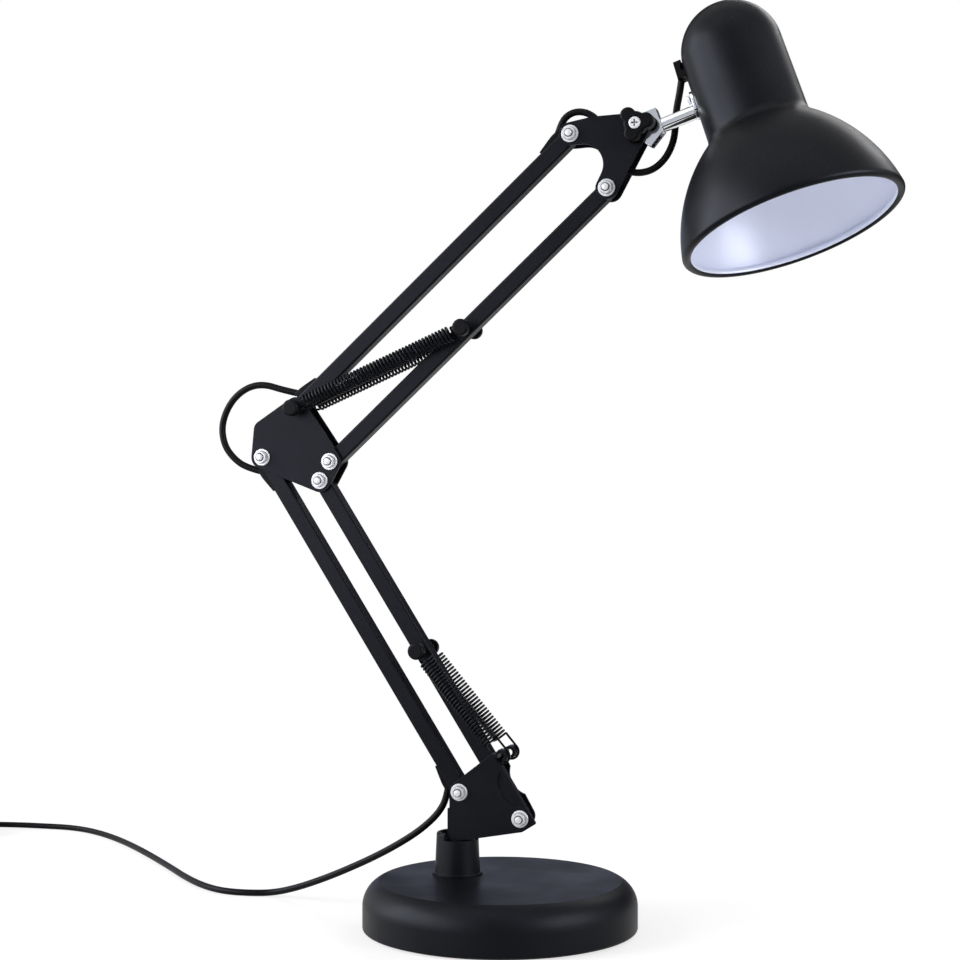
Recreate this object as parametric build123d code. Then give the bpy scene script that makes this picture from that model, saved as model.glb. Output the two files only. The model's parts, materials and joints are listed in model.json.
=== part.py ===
from build123d import *
import os
from math import acos, atan2, cos, degrees, pi, radians, sin, sqrt, tan

# A black swing-arm desk lamp on a round base, in millimetres, with Z up.
# The origin is the middle of the base on the table. X runs to the head, Y away from the viewer.
# Two parallelograms of square tube carry the head, so the elbow and the head bracket stay level.

os.makedirs("parts", exist_ok=True)

# Base and post
base_radius = 82.5
base_shoulder = 16.0
base_wall_top = 15.1
base_plateau_inset = 9.6
base_wall = 1.2
base_lip = 1.0
base_edge_round = 1.5
base_gap = 0.2
pad_inset = 4.5
pad_thickness = 1.5
post_x = -29.8
post_y = 11.3
socket_height = 25.5
socket_step = 4.2
socket_rim_wall = 2.2
socket_foot_flare = 1.1
socket_top_round = 1.2
socket_flange_width = 1.4
socket_flange_thickness = 1.2
socket_shank_wall = 2.0
socket_shank_end = 8.3
socket_counterbore_step = 2.5
socket_counterbore_depth = 9.0
socket_tab_half_angle = 66.5
socket_nut_thickness = 3.6
socket_nut_flats = 28.0
nut_pocket_margin = 4.0
spindle_radius = 8.0
spindle_thread_radius = 4.0
spindle_end = 3.4
spindle_washer_radius = 12.0
spindle_washer_thickness = 1.1
spindle_nut_thickness = 3.2
spindle_nut_flats = 13.0
spindle_block_height = 16.5

# Clearances
running_clearance = 0.08
open_clearance = 0.3
fixed_clearance = 0.05
seat_gap = 0.1

# Linkage: spans between pivots, and the angles above the X axis at which the lamp stands
rear_pivot_from_post = 3.15
rear_pivot_above_bracket = 28.83
lower_arm_span = 240.0
lower_arm_angle = 122.15
lower_pivot_gap = 40.7
lower_pivot_angle = -20.9
upper_arm_span = 238.0
upper_arm_angle = 42.93
upper_pivot_gap = 39.9
upper_pivot_angle = 124.05
elbow_width = 44.5
elbow_drop = 2.75
hook_behind_pivot = 10.2
hook_above_pivot = 38.0
tilt_pivot_ahead = 41.0
tilt_pivot_above = 3.05

# Arm tubes and cord hoods
tube_size = 10.0
tube_wall = 1.0
tube_corner = 1.2
hood_near = 4.6
hood_far = 21.0
hood_inset = 1.5
hood_crest = 4.0
hood_round = 1.0
hood_mouth_height = 3.4
hood_thin_height = 1.2
mouth_along = 6.5
mouth_height = 1.6
mouth_bend = 8.0
slant_low = 42.0
slant_elbow = 45.0
slant_upper = 55.0
slant_head = 30.0

# Sheet brackets
sheet = 1.5
bush_thickness = 0.6
bush_radius = 4.0
lower_lobe = 6.35
elbow_lobe = 7.2
elbow_front_lobe = 7.2
elbow_pin_lobe = 6.9
elbow_corner_radius = 6.0
elbow_corner_ahead = 0.4
elbow_corner_above = 17.0
head_lobe = 6.9
tilt_lobe = 7.6
head_shoulder_ahead = 14.5
head_shoulder_above = 2.0
head_fork_ahead = 5.5
head_fork_above = 27.0
head_inner_round = 12.5
bracket_clear = 0.5
neck_left = 4.3
neck_right = 12.4
web_height = 18.7
foot_corner_radius = 1.5
foot_left_height = 4.0
foot_right_height = 2.2
bracket_edge_out = 8.2
bracket_tip_out = 7.1
bracket_edge_low = -6.4
bracket_edge_high = 39.5
bracket_edge_inner = -2.9
bracket_corner_radius = 1.0
back_lobe = 6.0
waist_station = 20.0
waist_out = 3.4
waist_radius = 14.0
hook_corner_radius = 2.5
hook_radius = 3.8
hook_bore = 2.0
hook_stem = 2.2
hook_opening_right = 1.0
hook_opening_drop = 0.2
hook_past_spring = 3.0
recess_radius = 14.4
recess_ahead = 0.4
recess_above = 21.4
recess_depth = 0.9
recess_margin = 4.2
bevel_width = 1.8
bevel_depth = 1.2

# Fasteners
bolt_radius = 2.0
bolt_end = 1.3
washer_radius = 5.2
washer_thickness = 1.0
nut_flats = 7.0
nut_thickness = 3.2
head_thickness = 2.8
tilt_screw_radius = 2.5
tilt_nut_flats = 8.0
tilt_nut_thickness = 4.0

# Springs and their pins
spring_station = 118.0
spring_outside_plate = 3.8
spring_coil_radius = 4.4
spring_wire = 1.45
lower_curls = 20
upper_curls = 30
spring_pin_radius = 2.0
spring_cap_radius = 5.2
spring_cap_past_spring = 2.0
spring_cap_thickness = 4.5
spring_cap_round = 1.6
spring_end_straight = 1.4
lower_coil_from = 13.0
lower_coil_margin = 7.5
upper_coil_from = 9.4
upper_coil_margin = 7.5

# Head joint
rod_radius = 4.3
rod_tilt = 19.7
rod_drop = 4.2
rod_inner_end = 8.2
rod_spigot_radius = 2.2
clevis_face = 11.0
clevis_plate = 2.0
clevis_top = 6.4
clevis_bottom = 8.5
clevis_ear = 1.5
clevis_corner = 1.0
clevis_ear_radius = 6.5
clevis_tail_ahead = 3.0
clevis_tail_below = 14.0
circlip_radius = 3.4
circlip_thickness = 1.0
friction_thickness = 0.5
friction_radius = 6.0
knob_reach = 6.4
knob_lobe_radius = 4.7
knob_hub_radius = 7.0
knob_thickness = 8.6
knob_lobe_angle = 132.0
knob_recess_radius = 3.9
knob_recess_depth = 1.6
knob_round = 1.5
knob_screw_head_radius = 3.6
knob_screw_head_height = 2.0
knob_screw_head_round = 0.8
knob_screw_cross = 4.0
knob_screw_cross_width = 0.9
knob_screw_cross_depth = 1.2

# Shade, in its own frame: the crease under the neck is at zero, up is towards the dome
shade_roll = -8.9
shade_wall = 1.0
neck_length = 53.6
neck_top_radius = 30.0
neck_flare = 0.6
crease_round = 7.0
bell_top_step = 1.3
bell_middle_radius = 50.5
bell_middle_depth = 20.0
bell_radius = 66.7
bell_depth = 59.8
lip_radius = 2.6
lip_angle = 75.0
shade_from_tilt = 65.6
crease_below_tilt = 31.3
clip_thickness = 1.5
clip_half_width = 7.5
clip_below_rod = 4.8
clip_above_rod = 12.5
clip_screw_above = 8.4
clip_screw_radius = 1.5
clip_screw_head = 2.6
clip_screw_head_height = 1.6
clip_screw_gap = 0.2
clip_screw_margin = 2.0
holder_radius = 19.0
holder_mouth = 11.0
holder_top = 60.0
holder_bore = 14.0
holder_bore_depth = 30.0
holder_round = 4.0
holder_block_half_width = 10.5
holder_gap = 0.2
holder_ring_radius = 22.0
holder_ring_bore = 14.5
holder_ring_thickness = 4.0
bulb_cap_radius = 13.2
bulb_cap_height = 25.0
bulb_cap_above_mouth = 4.0
bulb_neck_radius = 12.2
bulb_radius = 22.5
bulb_centre = -16.0
grip_thickness = 4.8
grip_foot_thickness = 5.2
grip_height = 11.0
grip_width = 9.0
grip_station = 54.2
grip_cord_out = 3.6
grip_slant = 32.0
grip_sideways = 20.0

# Cord
cord_diameter = 4.2
cord_hole_clearance = 0.25
cord_lead_out = 8.0
elbow_lead_out = 11.0
coil_outer_radius = 27.6
coil_layers = 4
coil_whole_turns = 8
coil_gap = 0.55
coil_end_angle = 180.0
tie_angle = 300.0
tie_thickness = 0.8
tie_width = 5.0
tie_gap = 0.2
plug_relief_length = 22.0
plug_relief_radius = 5.2
plug_relief_lip = 1.2
plug_shoulder_half_width = 7.0
plug_shoulder_length = 10.0
plug_corner = 2.5
plug_edge_round = 1.5
plug_length = 34.0
plug_width = 24.0
plug_height = 13.8
plug_pin_radius = 2.0
plug_pin_length = 19.0
plug_pin_spacing = 18.6
plug_pin_round = 1.2

# Routes of the cord outside the tubes, as chosen points. X and Z lie in the arm plane, Y is from that plane.
# Between a low and a high list the cord is cut midway. The ends at the tubes are worked out.
elbow_route_low = [(-176.0, 0, 282.6), (-182.9, 0, 291.6), (-184.6, 0, 304.6)]
elbow_route_high = [(-178.6, 0, 318.4), (-168.2, 0, 327.2), (-156.4, 0, 329.6)]
head_arc_route = [(39.7, 0, 488.9), (45.7, 0, 490.4), (51.9, 0, 488.9), (57.0, 0, 485.0), (60.4, 0, 479.2)]
head_loop_low = [(66.4, 0, 461.0), (72.8, 0, 454.6), (81.0, 0, 451.6), (90.6, 0.6, 453.2), (98.0, 3.2, 460.2)]
head_loop_high = [(102.0, 7.4, 470.6), (102.8, 9.8, 481.2), (103.4, 8.8, 490.2)]
drop_route_high = [(-41.6, 0.2, 66.4), (-49.8, 1.4, 58.2)]
drop_route_low = [(-62.6, 5.0, 48.8), (-83.0, 11.4, 36.8), (-103.8, 18.2, 26.4), (-124.4, 25.8, 16.9)]
table_route = [(-146.6, 34.0, 8.0), (-166.0, 41.6, 2.1), (-182.4, 36.6, 2.1), (-200.8, 38.4, 2.1),
               (-220.2, 51.6, 2.1), (-241.4, 73.2, 2.1), (-269.6, 107.0, 2.1), (-307.8, 150.6, 2.1),
               (-346.0, 190.0, 2.1), (-378.2, 216.0, 2.1), (-403.2, 227.6, 2.1), (-425.2, 228.4, 2.1),
               (-453.2, 222.2, 3.1)]
coil_entry = (-490.2, 213.0, 3.1)
# Steps of the tail from the coil's end: X, Y and the share of the fall to the plug
tail_route = [(0, -12.0, 0), (-0.9, -24.5, 0.2), (-2.0, -37.0, 0.7), (-2.8, -49.0, 1.0), (-3.2, -58.0, 1.0)]

# Values worked out from the sizes above
shoulder_rise = sqrt(base_shoulder**2 - (base_shoulder - base_plateau_inset) ** 2)
base_top = base_wall_top + shoulder_rise
socket_top = base_top + socket_height
socket_low_rim = socket_top - socket_step
bracket_bottom = socket_low_rim + bracket_clear
socket_shank_radius = spindle_radius + socket_shank_wall
socket_counterbore = spindle_radius + socket_counterbore_step
socket_top_radius = socket_counterbore + socket_rim_wall
socket_foot_radius = socket_top_radius + socket_foot_flare
socket_flange_radius = socket_foot_radius + socket_flange_width
plate_inner = tube_size / 2 + seat_gap + bush_thickness
plate_outer = plate_inner + sheet
washer_outer = plate_outer + washer_thickness
spring_offset = plate_outer + spring_outside_plate
spring_cap_inner = spring_offset + spring_cap_past_spring
spring_cap_outer = spring_cap_inner + spring_cap_thickness
hook_reach = spring_offset + hook_past_spring
bush_inner = plate_inner - bush_thickness
friction_inner = plate_inner - friction_thickness
clevis_half_width = friction_inner - seat_gap
mouth_out = tube_size / 2 + mouth_height
neck_foot_radius = neck_top_radius + neck_flare
bell_top_radius = neck_foot_radius + bell_top_step
cord_radius = cord_diameter / 2
coil_pitch = cord_diameter + coil_gap
arm_plane = Location((0, post_y, 0))


def along(length, angle):
    """Vector of a length in the arm plane, at an angle above the X axis."""
    return Vector(length * cos(radians(angle)), 0, length * sin(radians(angle)))


lower_rear_pivot = Vector(post_x + rear_pivot_from_post, 0, bracket_bottom + rear_pivot_above_bracket)
lower_front_pivot = lower_rear_pivot + along(lower_pivot_gap, lower_pivot_angle)
elbow_rear_pivot = lower_rear_pivot + along(lower_arm_span, lower_arm_angle)
elbow_front_pivot = lower_front_pivot + along(lower_arm_span, lower_arm_angle)
upper_front_pivot = elbow_rear_pivot + Vector(elbow_width, 0, -elbow_drop)
upper_rear_pivot = upper_front_pivot + along(upper_pivot_gap, upper_pivot_angle)
head_rear_pivot = upper_rear_pivot + along(upper_arm_span, upper_arm_angle)
head_front_pivot = upper_front_pivot + along(upper_arm_span, upper_arm_angle)
tilt_pivot = head_rear_pivot + Vector(tilt_pivot_ahead, 0, tilt_pivot_above)
lower_spring_pivot = lower_front_pivot + along(spring_station, lower_arm_angle)
upper_spring_pivot = upper_front_pivot + along(spring_station, upper_arm_angle)
hook_centre = lower_front_pivot + Vector(-hook_behind_pivot, 0, hook_above_pivot)

lower_arm_place = Pos(*lower_rear_pivot) * Rot(0, -lower_arm_angle, 0)
front_lower_place = Pos(*lower_front_pivot) * Rot(0, -lower_arm_angle, 0)
upper_arm_place = Pos(*upper_rear_pivot) * Rot(0, -upper_arm_angle, 0)
front_upper_place = Pos(*upper_front_pivot) * Rot(0, -upper_arm_angle, 0)
tilt_place = Pos(*tilt_pivot) * Rot(0, -rod_tilt, 0)
rod_place = tilt_place * Pos(0, 0, -rod_drop)
roll_place = rod_place * Rot(shade_roll, 0, 0)
shade_place = roll_place * Pos(shade_from_tilt, 0, rod_drop - crease_below_tilt)


# Helpers
def save(node, *solids, place=arm_plane):
    """Write one node from its solids, moved into the arm plane unless told otherwise."""
    pieces = []
    for solid in solids:
        pieces.extend(solid.solids())
    export_step(Compound([place * piece for piece in pieces]), f"parts/{node}.step")


def slab(face, y_low, y_high):
    """Solid of a flat outline drawn in X and Z, between two Y values."""
    return extrude(Plane.XZ.offset(-y_high) * face, y_high - y_low, dir=(0, -1, 0))


def disc(point, radius):
    return Pos(point.X, point.Z) * Circle(radius)


def hexagon(point, flats):
    return Pos(point.X, point.Z) * RegularPolygon(flats / 2, 6, major_radius=False)


def wrapped(*discs):
    """Outline of a sheet wrapped round discs, each given as a point and a radius."""
    edges = []
    for point, radius in discs:
        edges.extend(disc(point, radius).edges())
    return make_hull(edges)


def pin(point, radius, y_low, y_high):
    return slab(disc(point, radius), y_low, y_high)


def both_sides(solid):
    return [solid, mirror(solid, Plane.XZ)]


def arc_middle(start, end, tangent):
    """Middle of the arc from start to end that leaves start along tangent."""
    chord = end - start
    straight = chord.normalized()
    side = tangent - straight * tangent.dot(straight)
    if side.length < 1e-9:
        return start + chord * 0.5
    half_turn = radians(tangent.get_angle(straight))
    return start + chord * 0.5 + side.normalized() * (chord.length / 2 * tan(half_turn / 2))


def biarc(start, start_tangent, end, end_tangent):
    """Two tangent arcs between two points with given directions."""
    gap = end - start
    both = start_tangent + end_tangent
    spread = 2 * (1 - start_tangent.dot(end_tangent))
    reach = gap.dot(both)
    handle = (sqrt(reach**2 + spread * gap.dot(gap)) - reach) / spread
    joint = (start + end + (start_tangent - end_tangent) * handle) * 0.5
    first = ThreePointArc(start, arc_middle(start, joint, start_tangent), joint)
    second = ThreePointArc(joint, arc_middle(end, joint, end_tangent * -1), end)
    return [first, second]


def wire_along(stations):
    """Path of biarcs through a list of points and directions."""
    edges = []
    for (start, start_tangent), (end, end_tangent) in zip(stations, stations[1:]):
        edges.extend(biarc(start, start_tangent, end, end_tangent))
    return edges


def round_tube(edges, radius, start, direction):
    return sweep(Plane(origin=start, z_dir=direction) * Circle(radius), path=Wire(edges))


def cord_tube(name, points):
    """Free cord: straight runs joined by arcs as large as the runs allow."""
    arc_share = 0.45
    route = [Vector(*point) for point in points]
    radii = []
    for before, corner, after in zip(route, route[1:], route[2:]):
        run_in = corner - before
        run_out = after - corner
        turn = radians(run_in.get_angle(run_out))
        radii.append(arc_share * min(run_in.length, run_out.length) / tan(turn / 2))
    path = FilletPolyline(*route, radius=radii)
    section = Plane(origin=route[0], z_dir=route[1] - route[0]) * Circle(cord_radius)
    tube = sweep(section, path=path)
    expected = pi * cord_radius**2 * path.length
    print(name, "length", round(path.length, 1), "volume ratio", round(tube.volume / expected, 4),
          "radii", [round(radius, 1) for radius in radii])
    return tube


def least_gap(points, spacing, diameter):
    """Least clear gap between turns, from points along the tube at least spacing apart."""
    nearest = min((a - b).length for i, a in enumerate(points) for b in points[i + spacing:])
    return nearest - diameter


# Base: cover, iron weight and pad
def base_solid(inset, bottom):
    """Solid of the base drawn in by an inset, from a bottom height up."""
    wall_radius = base_radius - inset
    centre = base_radius - base_shoulder
    arc_radius = base_shoulder - inset
    top = base_top - inset
    flat_radius = centre + sqrt(arc_radius**2 - (top - base_wall_top) ** 2)
    middle = (radians(90) - atan2(flat_radius - centre, top - base_wall_top)) / 2
    corners = [(flat_radius, top), (0, top), (0, bottom), (wall_radius, bottom), (wall_radius, base_wall_top)]
    shoulder = ThreePointArc(
        (wall_radius, base_wall_top),
        (centre + arc_radius * cos(middle), base_wall_top + arc_radius * sin(middle)),
        (flat_radius, top),
    )
    return revolve(Plane.XZ * make_face([*Polyline(*corners).edges(), shoulder]), Axis.Z)


post = Pos(post_x, post_y, 0)
nut_pocket_top = socket_shank_end + socket_nut_thickness
base_cover = base_solid(0, base_lip)
lower_rim = base_cover.edges().filter_by(GeomType.CIRCLE).group_by(Axis.Z)[0]
base_cover = fillet(lower_rim, base_edge_round)
base_cover -= base_solid(base_wall, base_lip - base_edge_round)
base_cover -= post * Pos(0, 0, base_top) * Cylinder(socket_shank_radius + fixed_clearance, 3 * base_wall)
base_weight = base_solid(base_wall + base_gap, pad_thickness)
base_weight -= post * Pos(0, 0, base_top / 2) * Cylinder(socket_shank_radius + fixed_clearance, base_top)
base_weight -= post * extrude(Circle(socket_nut_flats / 2 + nut_pocket_margin), nut_pocket_top)
base_pad = extrude(Circle(base_radius - pad_inset), pad_thickness)
world = Location((0, 0, 0))
save("base_cover", base_cover, place=world)
save("base_weight", base_weight, place=world)
save("base_pad", base_pad, place=world)


# Socket with its stepped rim, and the spindle that turns in it
def socket_profile():
    outline = Polyline(
        (spindle_radius + running_clearance, socket_shank_end),
        (socket_shank_radius, socket_shank_end),
        (socket_shank_radius, base_top),
        (socket_flange_radius, base_top),
        (socket_flange_radius, base_top + socket_flange_thickness),
        (socket_foot_radius, base_top + socket_flange_thickness),
        (socket_top_radius, socket_top),
        (socket_counterbore, socket_top),
        (socket_counterbore, socket_top - socket_counterbore_depth),
        (spindle_radius + running_clearance, socket_top - socket_counterbore_depth),
        close=True,
    )
    return make_face(outline.edges())


socket = revolve(Plane.XZ * socket_profile(), Axis.Z)
rim_edge = socket.edges().filter_by(GeomType.CIRCLE).group_by(Axis.Z)[-1].sort_by(SortBy.RADIUS)[-1]
socket = fillet(rim_edge, socket_top_round)
tab_reach = 4 * socket_foot_radius
tab_start = radians(180 - socket_tab_half_angle)
tab_sector = make_face(
    Polyline(
        (0, 0),
        (tab_reach * cos(tab_start), tab_reach * sin(tab_start)),
        (tab_reach * cos(tab_start), -tab_reach * sin(tab_start)),
        close=True,
    ).edges()
)
rim_cut = extrude(Circle(2 * socket_foot_radius) - tab_sector, 2 * socket_step)
socket -= Pos(0, 0, socket_low_rim) * rim_cut
save("base_socket", post * socket, place=world)
socket_nut_hex = RegularPolygon(socket_nut_flats / 2, 6, major_radius=False)
socket_nut = extrude(socket_nut_hex - Circle(socket_shank_radius + fixed_clearance), socket_nut_thickness)
save("socket_nut", post * Pos(0, 0, socket_shank_end) * socket_nut, place=world)

washer_top = socket_shank_end - seat_gap
washer_bottom = washer_top - spindle_washer_thickness
spindle = Pos(0, 0, washer_top) * extrude(Circle(spindle_radius), bracket_bottom - washer_top)
spindle += Pos(0, 0, spindle_end) * extrude(Circle(spindle_thread_radius), washer_top - spindle_end)
block_left = neck_left - sheet - fixed_clearance
block_length = block_left + neck_right - sheet
block_width = 2 * (plate_inner - fixed_clearance)
block_middle = (neck_right - sheet - block_left) / 2
spindle += Pos(block_middle, 0, bracket_bottom + spindle_block_height / 2) * Box(
    block_length, block_width, spindle_block_height
)
thread_hole = Circle(spindle_thread_radius + fixed_clearance)
spindle_washer = extrude(Circle(spindle_washer_radius) - thread_hole, spindle_washer_thickness)
spindle_nut_hex = RegularPolygon(spindle_nut_flats / 2, 6, major_radius=False)
spindle_nut = extrude(spindle_nut_hex - thread_hole, spindle_nut_thickness)
save("swivel_spindle", post * spindle, place=world)
spindle_washer = post * Pos(0, 0, washer_bottom) * spindle_washer
spindle_nut = post * Pos(0, 0, washer_bottom - spindle_nut_thickness) * spindle_nut
save("spindle_nut", spindle_washer, spindle_nut, place=world)


# Lower bracket: one folded sheet with two plates, a web, a pressed recess and two curled hooks
def beside_front_arm(station, out):
    """Point at a station along the front arm's line and a distance out from it."""
    return lower_front_pivot + along(station, lower_arm_angle) + along(out, lower_arm_angle - 90)


def lower_bracket():
    foot_left_x = post_x - neck_left + sheet + foot_corner_radius
    foot_left = Vector(foot_left_x, 0, bracket_bottom + foot_left_height)
    foot_right = Vector(post_x + neck_right - foot_corner_radius, 0, bracket_bottom + foot_right_height)
    hook_corner = beside_front_arm(bracket_edge_high, bracket_edge_out - hook_corner_radius)
    shared = [
        (lower_rear_pivot, lower_lobe),
        (hook_corner, hook_corner_radius),
        (foot_left, foot_corner_radius),
        (foot_right, foot_corner_radius),
    ]
    front_outline = wrapped(
        *shared,
        (beside_front_arm(bracket_edge_low, bracket_tip_out - bracket_corner_radius), bracket_corner_radius),
        (beside_front_arm(bracket_edge_low, bracket_edge_inner), bracket_corner_radius),
    )
    back_outline = wrapped(*shared, (lower_front_pivot, back_lobe))
    back_outline -= disc(beside_front_arm(waist_station, waist_out + waist_radius), waist_radius)
    neck_length_x = neck_left + neck_right
    neck_middle = post_x + (neck_right - neck_left) / 2
    neck_height = spindle_block_height / 2
    neck = Pos(neck_middle, bracket_bottom + neck_height / 2) * Rectangle(neck_length_x, neck_height)
    front = slab(front_outline + neck, -plate_outer, -plate_inner)
    back = slab(back_outline + neck, plate_inner, plate_outer)
    recess_middle = lower_front_pivot + Vector(recess_ahead, 0, recess_above)
    reach = 4 * recess_radius
    recess_edge = front_lower_place * Pos(0, 0, reach / 2 - recess_margin) * Box(2 * reach, reach, reach)
    recess = pin(recess_middle, recess_radius, -plate_outer - 1, -plate_outer + recess_depth) & recess_edge
    front -= recess
    bevel = make_face(
        Polyline(
            (bevel_width - bracket_edge_out, plate_outer),
            (-bevel_width - bracket_edge_out, plate_outer),
            (-bevel_width - bracket_edge_out, plate_outer - 2 * bevel_depth),
            close=True,
        ).edges()
    )
    bevel_frame = Plane(origin=(2 * bracket_edge_low, 0, 0), x_dir=(0, 0, 1), z_dir=(1, 0, 0))
    front -= front_lower_place * extrude(bevel_frame * bevel, spring_station / 2)
    body = front + back
    web = Box(sheet, 2 * plate_outer, web_height)
    body += Pos(post_x - neck_left + sheet / 2, 0, bracket_bottom + web_height / 2) * web
    curl = disc(hook_centre, hook_radius) - disc(hook_centre, hook_bore)
    opening = 3 * hook_radius
    opening_x = hook_centre.X + hook_opening_right - opening / 2
    curl -= Pos(opening_x, hook_centre.Z - hook_opening_drop - opening / 2) * Rectangle(opening, opening)
    stem_start = hook_corner.X - bracket_corner_radius
    stem_end = hook_centre.X - hook_bore
    stem = Pos((stem_start + stem_end) / 2, hook_centre.Z) * Rectangle(stem_end - stem_start, hook_stem)
    hook = slab(curl + stem, plate_inner, hook_reach)
    for side in both_sides(hook):
        body += side
    for point in (lower_rear_pivot, lower_front_pivot):
        body -= pin(point, bolt_radius + fixed_clearance, -2 * plate_outer, 2 * plate_outer)
    return body


save("lower_bracket", lower_bracket())


# Elbow and head plates
def drilled(outline, pivots, radius):
    for point in pivots:
        outline -= disc(point, radius + fixed_clearance)
    return slab(outline, -plate_outer, -plate_inner)


elbow_corner = elbow_rear_pivot + Vector(elbow_corner_ahead, 0, elbow_corner_above)
elbow_outline = wrapped(
    (elbow_rear_pivot, elbow_lobe),
    (elbow_front_pivot, elbow_front_lobe),
    (upper_front_pivot, elbow_lobe),
    (upper_rear_pivot, elbow_pin_lobe),
    (elbow_corner, elbow_corner_radius),
)
elbow_pivots = (elbow_rear_pivot, elbow_front_pivot, upper_front_pivot)
elbow_plate = drilled(elbow_outline, (*elbow_pivots, upper_rear_pivot), bolt_radius)
save("elbow_front_plate", elbow_plate)
save("elbow_back_plate", mirror(elbow_plate, Plane.XZ))

head_shoulder = head_rear_pivot + Vector(head_shoulder_ahead, 0, head_shoulder_above)
head_arm = wrapped((head_rear_pivot, head_lobe), (head_shoulder, tilt_lobe), (tilt_pivot, tilt_lobe))
head_leg = wrapped((head_front_pivot, head_lobe), (tilt_pivot, tilt_lobe))
head_outline = head_arm + head_leg
inner_corner = head_front_pivot + Vector(head_fork_ahead, 0, head_fork_above)
corner_vertex = head_outline.vertices().sort_by_distance((inner_corner.X, inner_corner.Z))[0]
head_outline = fillet(corner_vertex, head_inner_round)
head_pivots = (head_rear_pivot, head_front_pivot)
head_outline -= disc(tilt_pivot, tilt_screw_radius + running_clearance)
head_plate = drilled(head_outline, head_pivots, bolt_radius)
save("head_front_plate", head_plate)
save("head_back_plate", mirror(head_plate, Plane.XZ))


# Pivot bolts with their nuts, washers and spacer bushes
def bolt(point):
    shank_end = washer_outer + nut_thickness + bolt_end
    return pin(point, bolt_radius, -shank_end, washer_outer) + slab(
        hexagon(point, nut_flats), washer_outer, washer_outer + head_thickness
    )


def nut(point):
    outline = hexagon(point, nut_flats) - disc(point, bolt_radius + fixed_clearance)
    return slab(outline, -washer_outer - nut_thickness, -washer_outer)


def ring_pair(point, radius, bore, y_low, y_high):
    return both_sides(slab(disc(point, radius) - disc(point, bore), y_low, y_high))


def fasten(name, pivots, extra_bushes=()):
    """Nodes of the bolts, nuts, washers and bushes at a group of pivots."""
    bore = bolt_radius + fixed_clearance
    washers = []
    bushes = []
    for point in pivots:
        washers.extend(ring_pair(point, washer_radius, bore, plate_outer, washer_outer))
        bushes.extend(ring_pair(point, bush_radius, bore, bush_inner, plate_inner))
    bolts = [bolt(point) for point in pivots]
    nuts = [nut(point) for point in pivots]
    save(f"{name}_fasteners", *bolts, *nuts, *washers)
    save(f"{name}_bushes", *bushes, *extra_bushes)


elbow_pin_bore = spring_pin_radius + fixed_clearance
elbow_pin_bushes = ring_pair(upper_rear_pivot, bush_radius, elbow_pin_bore, bush_inner, plate_inner)
fasten("lower_bracket", (lower_rear_pivot, lower_front_pivot))
fasten("elbow", elbow_pivots, elbow_pin_bushes)
fasten("head", head_pivots)


# Spring pins with their caps
def spring_pin(point):
    return pin(point, spring_pin_radius, -spring_cap_inner, spring_cap_inner)


def spring_caps(point):
    cap = slab(disc(point, spring_cap_radius), spring_cap_inner, spring_cap_outer)
    crown = cap.faces().sort_by(Axis.Y)[-1]
    return both_sides(fillet(crown.edges(), spring_cap_round))


pin_points = {"lower": lower_spring_pivot, "upper": upper_spring_pivot, "elbow": upper_rear_pivot}
for label, point in pin_points.items():
    save(f"{label}_spring_pin", spring_pin(point), *spring_caps(point))


# Arm tubes, made along X from the lower pivot, with Z to the outside of the lamp's bend
def mouth_points(slant, pivot, inward):
    """Mouth of a cord hood and the corner inside the tube, for a pivot at one end."""
    mouth = Vector(pivot + inward * mouth_along, 0, mouth_out)
    corner = Vector(mouth.X + inward * mouth_out / tan(radians(slant)), 0, 0)
    return mouth, corner


def hood(slant, pivot, inward):
    outside = tube_size / 2
    outline = make_face(
        Polyline(
            (hood_near, outside),
            (hood_far, outside),
            (hood_far, outside + hood_thin_height),
            (hood_near + hood_crest, outside + hood_mouth_height),
            (hood_near, outside + hood_mouth_height),
            close=True,
        ).edges()
    )
    half_width = tube_size / 2 - hood_inset
    body = slab(outline, -half_width, half_width)
    crest_edges = body.faces().sort_by(Axis.Z)[-1].edges().filter_by(Axis.Y, reverse=True)
    body = fillet(crest_edges, hood_round)
    if inward < 0:
        body = mirror(body, Plane.YZ)
    body = Pos(pivot, 0, 0) * body
    mouth, corner = mouth_points(slant, pivot, inward)
    direction = mouth - corner
    hole = Plane(origin=corner, z_dir=direction) * Circle(cord_radius + cord_hole_clearance)
    return body - extrude(hole, 3 * direction.length)


def cord_slot(slant, pivot, inward):
    """Cut in the outer wall where the cord leaves the tube."""
    slope = tan(radians(slant))
    lean = (cord_radius + 2 * cord_hole_clearance) / sin(radians(slant))
    outside = tube_size / 2
    near = mouth_along + (mouth_out - outside) / slope - lean
    far = mouth_along + (mouth_out - outside + tube_wall) / slope + lean
    width = cord_diameter + 3 * cord_hole_clearance
    middle = pivot + inward * (near + far) / 2
    return Pos(middle, 0, outside - tube_wall / 2) * Box(far - near, width, 2 * tube_wall)


def arm(span, low_clearance, high_clearance, slants=(), spring_hole=False):
    outline = Pos(span / 2, 0) * SlotCenterToCenter(span, tube_size)
    tube = slab(outline, -tube_size / 2, tube_size / 2)
    long_edges = tube.edges().filter_by(Axis.X)
    tube = fillet(long_edges, tube_corner)
    bore = tube_size - 2 * tube_wall
    tube -= Pos(span / 2, 0, 0) * Box(span + 2 * tube_size, bore, bore)
    tube -= pin(Vector(0, 0, 0), bolt_radius + low_clearance, -tube_size, tube_size)
    tube -= pin(Vector(span, 0, 0), bolt_radius + high_clearance, -tube_size, tube_size)
    if slants:
        tube -= cord_slot(slants[0], 0, 1)
        tube -= cord_slot(slants[1], span, -1)
    if spring_hole:
        tube -= pin(Vector(spring_station, 0, 0), spring_pin_radius + fixed_clearance, -tube_size, tube_size)
    return tube


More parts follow.
